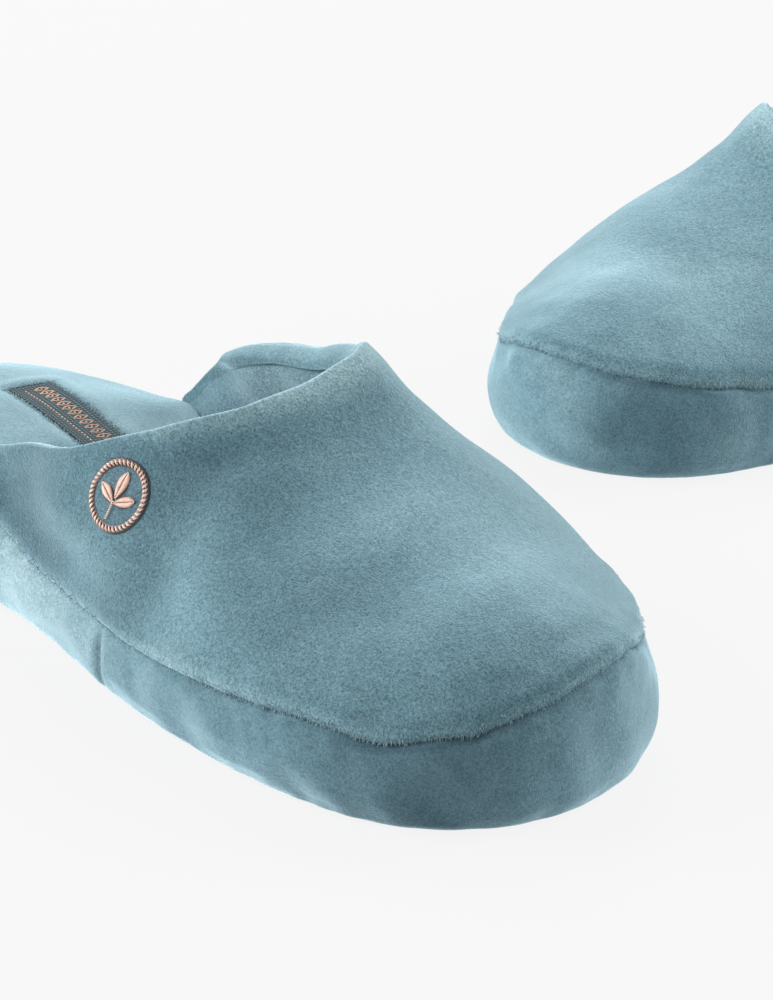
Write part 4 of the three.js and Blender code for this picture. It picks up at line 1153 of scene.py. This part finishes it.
def build_label(side, sock):
    c_, s_ = math.cos(LABEL["turn"]), math.sin(LABEL["turn"])
    right, up = np.array([c_, s_, 0]), np.array([-s_, c_, 0])
    on = OnSurface(sock, side, (LABEL["x"], LABEL["y"], 45.0), right, up)
    length, width = LABEL["length"], LABEL["width"]
    # ribbon body with soft edges
    nx, ny = 60, 18
    gx, gy = np.meshgrid(np.linspace(-length / 2, length / 2, nx + 1), np.linspace(-width / 2, width / 2, ny + 1), indexing="ij")
    flat = np.stack([gx, gy, 0 * gx], -1).reshape(-1, 3)
    surf = on.lay(flat)
    edge = np.minimum(length / 2 - np.abs(flat[:, 0]), width / 2 - np.abs(flat[:, 1]))
    # smooth the ground under the ribbon so that it lies taut
    g = surf.reshape(nx + 1, ny + 1, 3)
    for _ in range(12):
        g[1:-1, 1:-1, 2] = (g[:-2, 1:-1, 2] + g[2:, 1:-1, 2] + g[1:-1, :-2, 2] + g[1:-1, 2:, 2]) / 4
    surf = g.reshape(-1, 3)
    lift = 0.25 + 0.40 * smooth(edge / 0.8)
    top = surf + np.array([0, 0, 1]) * lift[:, None]
    bottom = surf + np.array([0, 0, 0.05])
    idx = np.arange((nx + 1) * (ny + 1)).reshape(nx + 1, ny + 1)
    n = idx.size
    q = np.stack([idx[:-1, :-1], idx[1:, :-1], idx[1:, 1:], idx[:-1, 1:]], -1).reshape(-1, 4)
    faces = q.tolist() + (q[:, ::-1] + n).tolist()
    ring = list(idx[:, 0]) + list(idx[-1, 1:]) + list(idx[-2::-1, -1]) + list(idx[0, -2:0:-1])
    for a, b in zip(ring, ring[1:] + ring[:1]):
        faces.append((a, a + n, b + n, b))
    ribbon = make(f"{side}_label", np.vstack([top, bottom]), faces, MAT["ribbon"], side)
    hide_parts(f"{side}_woven_label")
    topg = top.reshape(nx + 1, ny + 1, 3)

    def at(a, b, h):
        i = (a / length + 0.5) * nx
        j = (b / width + 0.5) * ny
        i0, j0 = int(min(max(i, 0), nx - 1)), int(min(max(j, 0), ny - 1))
        fi, fj = i - i0, j - j0
        p = (topg[i0, j0] * (1 - fi) * (1 - fj) + topg[i0 + 1, j0] * fi * (1 - fj)
             + topg[i0, j0 + 1] * (1 - fi) * fj + topg[i0 + 1, j0 + 1] * fi * fj)
        return p + np.array([0, 0, h])

    def thread(a0, b0, a1, b1, w, h, lift=0.05):
        return capsule(at(a0, b0, lift), at(a1, b1, lift), w, h, (0, 0, 1), 6, 3)

    # a plain woven pattern in copper: a row of lozenges over a fine dashed line
    parts = []
    pitch, tall = 3.3, 2.1
    for k in range(13):
        x = -6 * pitch + k * pitch
        for sx, sy in ((1, 1), (1, -1), (-1, 1), (-1, -1)):
            parts.append(thread(x + sx * 1.35, 1.55, x, 1.55 + sy * tall / 1.0, 0.42, 0.34))
        parts.append(thread(x - 0.45, 1.55, x + 0.45, 1.55, 0.55, 0.34))
    for k in range(26):
        x = -6 * pitch - 0.7 + k * pitch / 2
        parts.append(thread(x, -2.9, x + 1.0, -2.9, 0.38, 0.30))
    v, f = joined(parts)
    copper = make(f"{side}_label_pattern", v, f, MAT["copper"], side)
    # sewn edge
    parts = []
    step = 1.7
    for b in (-width / 2 + 0.55, width / 2 - 0.55):
        for k in range(int((length - 1.2) / step)):
            a0 = -length / 2 + 0.7 + k * step
            parts.append(thread(a0, b, a0 + step * 0.8, b, 0.40, 0.32))
    for a in (-length / 2 + 0.55, length / 2 - 0.55):
        for k in range(int((width - 1.2) / step)):
            b0 = -width / 2 + 0.8 + k * step
            parts.append(thread(a, b0, a, b0 + step * 0.8, 0.40, 0.32))
    v, f = joined(parts)
    edge_o = make(f"{side}_label_stitches", v, f, MAT["edge"], side)
    # pile of the sock standing against the ribbon's edges
    gx, gy = np.meshgrid(np.linspace(-length / 2 - 2.4, length / 2 + 2.4, 110), np.linspace(-width / 2 - 2.4, width / 2 + 2.4, 46), indexing="ij")
    ground = on.lay(np.stack([gx, gy, 0 * gx], -1).reshape(-1, 3)).reshape(gx.shape + (3,))
    out = np.maximum(np.abs(gx) - length / 2, np.abs(gy) - width / 2)
    tufted = 0.45 + 0.55 * smooth(0.5 + 0.5 * Waves(71 if side == "right" else 73, 5)(ground))
    weight = gauss(out, 0.35, 0.6) * (out > -0.2) * tufted
    fuzz = fibres(f"{side}_label_fibres", side, ground, weight, 13.0, (0.7, 1.3), (0.75, 0.0, 0.42), 151 if side == "right" else 161, MAT["pile"], "sock_plush")
    return ribbon, copper, edge_o, fuzz


def leaf_outline(cx, cy, length, width, angle, n=26):
    """An almond leaf from its stalk end at (cx, cy)."""
    t = np.linspace(0, 1, n)
    half = width / 2 * np.sin(math.pi * t) ** 0.8 * (1 - 0.25 * t)
    pts = np.vstack([np.stack([t * length, half], -1), np.stack([t[::-1] * length, -half[::-1]], -1)])
    c, s = math.cos(angle), math.sin(angle)
    return np.stack([cx + pts[:, 0] * c - pts[:, 1] * s, cy + pts[:, 0] * s + pts[:, 1] * c], -1)


def fill_threads(cx, cy, length, width, angle, pitch, slant):
    """Slanted satin stitches across a leaf, as pairs of flat points."""
    out = []
    c, s = math.cos(angle), math.sin(angle)
    n = int(length / pitch)
    for k in range(n):
        t = (k + 0.5) / n
        half = width / 2 * math.sin(math.pi * t) ** 0.8 * (1 - 0.25 * t)
        if half < 0.18:
            continue
        for sign in (1, -1):
            a = (t * length, 0.05 * sign)
            b = (min(t * length + slant * half, length), sign * half)
            out.append([(cx + p[0] * c - p[1] * s, cy + p[0] * s + p[1] * c) for p in (a, b)])
    return out


def build_badge(side, upper):
    x, e = BADGE["x"], BADGE["e"]
    xs = np.array([[x, x + 3, x - 3, x, x]])
    es = np.array([e, e, e, e + 0.03, e - 0.03])
    p, _ = upper_grid(side, 0.0, xs, es)
    c, fx, bx, up_, dn = p[0]
    right = fx - bx
    up = up_ - dn
    on = OnSurface(upper, side, c, right, up)
    r = BADGE["r"]
    made = []
    # embroidery ground inside the ring
    nr, na = 7, 48
    rings = [(0.0, 0.0)]
    verts = [(0, 0, 0.38)]
    for i in range(1, nr + 1):
        rr = (r - 0.2) * i / nr
        for k in range(na):
            a = 2 * math.pi * k / na
            verts.append((rr * math.cos(a), rr * math.sin(a), 0.38 - 0.1 * (i / nr) ** 2))
    faces = [(0, 1 + k, 1 + (k + 1) % na) for k in range(na)]
    for i in range(nr - 1):
        for k in range(na):
            l = (k + 1) % na
            faces.append((1 + i * na + k, 1 + (i + 1) * na + k, 1 + (i + 1) * na + l, 1 + i * na + l))
    top = len(verts)
    verts += [(v[0], v[1], -0.5) for v in verts]
    faces += [tuple(i + top for i in f[::-1]) for f in list(faces)]
    for k in range(na):
        l = (k + 1) % na
        a, b = 1 + (nr - 1) * na + k, 1 + (nr - 1) * na + l
        faces.append((a, a + top, b + top, b))
    ground = make(f"{side}_badge_ground", on.lay(verts), faces, MAT["ground"], side)
    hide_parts(f"{side}_badge_backing")
    nap(ground, side, lambda x, y, z: 0 * x)
    made.append(ground)
    # a dark underlay ring, wider than the rope, whose rim is painted shade round the raised stitches; then a two-strand
    # rope of slanted stitches
    def tube(radius, width, height, lift, n=120, k=8):
        v, f = [], []
        for i in range(n):
            a = 2 * math.pi * i / n
            for j in range(k):
                b = 2 * math.pi * j / k
                rr = radius + width / 2 * math.cos(b)
                v.append((rr * math.cos(a), rr * math.sin(a), lift + height / 2 * math.sin(b)))
        for i in range(n):
            for j in range(k):
                i2, j2 = (i + 1) % n, (j + 1) % k
                f.append((i * k + j, i2 * k + j, i2 * k + j2, i * k + j2))
        return v, f
    v, f = tube(r, 2.35, 0.5, 0.22)
    made.append(make(f"{side}_badge_underlay", on.lay(v), f, MAT["under"], side))
    parts = []
    count = 44
    rim = [on.lay([((r) * math.cos(2 * math.pi * k / count), r * math.sin(2 * math.pi * k / count), 0.0)])[0] for k in range(count)]
    for k in range(count):
        a = 2 * math.pi * k / count
        for strand, (r0, r1, da, lift) in enumerate(((r - 0.62, r + 0.56, 0.62, 0.56), (r + 0.10, r + 0.70, 1.05, 0.46))):
            a0, a1 = a - da * math.pi / count * 0.8, a + da * math.pi / count
            pa, pb = on.lay([(r0 * math.cos(a0), r0 * math.sin(a0), lift), (r1 * math.cos(a1), r1 * math.sin(a1), lift)])
            parts.append(capsule(pa, pb, 0.60 if strand == 0 else 0.38, 0.46, on.n, 8, 5, 0.16))
    v, f = joined(parts)
    ring = make(f"{side}_badge_ring_stitches", v, f, MAT["thread"], side)
    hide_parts(f"{side}_badge_ring")
    made.append(ring)
    # a sprig of three leaves in satin stitch
    leaves = [(0.0, -0.9, 7.1, 3.7, math.radians(90)), (-0.1, -2.0, 6.4, 3.2, math.radians(152)), (0.1, -2.0, 6.4, 3.2, math.radians(28))]
    parts, under = [], []
    for cx, cy, length, width, ang in leaves:
        for (a, b) in fill_threads(cx, cy, length, width, ang, 0.40, 0.75):
            pa, pb = on.lay([(a[0], a[1], 0.72), (b[0], b[1], 0.52)])
            parts.append(capsule(pa, pb, 0.44, 0.38, on.n, 6, 4, 0.10))
        # a dark underlay a little larger than each leaf; its rim is painted shade round the raised satin
        ring_pts = leaf_outline(cx, cy, length * 1.03, width * 1.16, ang)
        n = len(ring_pts)
        vv = on.lay([(p[0], p[1], 0.46) for p in ring_pts] + [(p[0], p[1], 0.0) for p in ring_pts])
        ff = [tuple(range(n)), tuple(range(2 * n - 1, n - 1, -1))] + [(k, k + n, (k + 1) % n + n, (k + 1) % n) for k in range(n)]
        under.append((vv, ff))
    for k in range(9):
        y0 = -6.2 + k * 0.55
        pa, pb = on.lay([(-0.34, y0, 0.75), (0.34, y0 + 0.28, 0.75)])
        parts.append(capsule(pa, pb, 0.5, 0.42, on.n, 6, 4, 0.10))
    v, f = joined(parts)
    motif = make(f"{side}_badge_motif_stitches", v, f, MAT["thread"], side)
    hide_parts(f"{side}_badge_motif")
    made.append(motif)
    v, f = joined(under)
    made.append(make(f"{side}_badge_motif_underlay", v, f, MAT["under"], side))
    return made


# ------------------------------------------------------------------ standing fibres
def build_fibres(side):
    sheet = SHEETS[side]
    h = sheet[..., 2] - seam_height(side, sheet[..., 0], sheet[..., 1])
    low = np.exp(-(((h - 1.0) / 1.6) ** 2))
    front = (0.2 + 0.8 * smooth((sheet[..., 0] - 160) / 60)) * (1 - 0.75 * smooth((sheet[..., 1] - 8) / 14))
    seam = fibres(f"{side}_seam_fibres", side, sheet, low * front, 4.6, (0.9, 1.7), (0.40, 0.85, 0.26), 101 if side == "right" else 131, MAT["pile"], "upper_plush")
    return [seam]


# ------------------------------------------------------------------ assembly
for side in SIDES:
    upper, lining = build_upper(side)
    sock, foam = build_bed(side)
    wall = build_wall(side)
    platform = build_platform(side)
    outsole = build_outsole(side)
    bpy.context.view_layer.update()
    label = build_label(side, sock)
    badge = build_badge(side, upper)
    pile = build_fibres(side)
    for o in (upper, lining, sock, foam, wall, platform, outsole, *badge, *pile):
        bend(o)
    for o in label:
        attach(o, f"{side}_heel")

# ------------------------------------------------------------------ floor, light, camera
floor_mat, t, b = nodes_of("floor")
tone = ramp(t, noise(t, mapped(t), 0.8, 2.0), [(0.3, (0.038, 0.038, 0.038)), (0.7, (0.041, 0.041, 0.041))])
t.links.new(tone, b.inputs["Base Color"])
b.inputs["Roughness"].default_value = 1.0
b.inputs["Specular IOR Level"].default_value = 0.0
b.inputs["Emission Color"].default_value = (1, 1, 1, 1)
b.inputs["Emission Strength"].default_value = 0.875
size = 30.0
floor = make("floor", [(-size, -size, 0), (size, -size, 0), (size, size, 0), (-size, size, 0)], [(0, 1, 2, 3)], floor_mat)

eye = Vector(place("right", np.array([808.6, -572.1, 402.7])))
aim = Vector(place("right", np.array([98.0, 88.4, 0.0])))
ahead = aim - eye
ahead.z = 0
ahead.normalize()
to_right = Vector((ahead.y, -ahead.x, 0))

world = bpy.data.worlds.new("studio")
bpy.context.scene.world = world
world.use_nodes = True
world.node_tree.nodes["Background"].inputs[0].default_value = (1.0, 1.0, 1.0, 1)
world.node_tree.nodes["Background"].inputs[1].default_value = 0.43


def area(name, place_, target, size_, power, colour=(1, 1, 1)):
    light = bpy.data.lights.new(name, "AREA")
    light.shape = "DISK"
    light.size = size_
    light.energy = power
    light.color = colour
    o = bpy.data.objects.new(name, light)
    bpy.context.scene.collection.objects.link(o)
    o.location = place_
    o.rotation_euler = (Vector(target) - Vector(place_)).to_track_quat("-Z", "Y").to_euler()
    return o


area("left_box", -to_right * 1.5 - ahead * 0.1 + Vector((0, 0, 0.85)), (0, 0, 0.03), 1.1, 22)
area("left_low", -to_right * 1.25 + ahead * 0.1 + Vector((0, 0, 0.22)), (0, 0, 0.02), 0.7, 9)
area("right_box", to_right * 1.5 + ahead * 0.35 + Vector((0, 0, 0.8)), (0, 0, 0.03), 1.1, 26)
area("back_box", ahead * 1.5 + Vector((0, 0, 1.5)), (0, 0, 0.03), 1.2, 32)

cam = bpy.data.cameras.new("camera")
cam_o = bpy.data.objects.new("camera", cam)
bpy.context.scene.collection.objects.link(cam_o)
bpy.context.scene.camera = cam_o
cam.sensor_width = 36.0
cam.lens = 138.5
cam.clip_start, cam.clip_end = 0.05, 100
cam_o.location = eye
cam_o.rotation_euler = (aim - eye).to_track_quat("-Z", "Y").to_euler()

bpy.context.scene.view_settings.view_transform = "Standard"
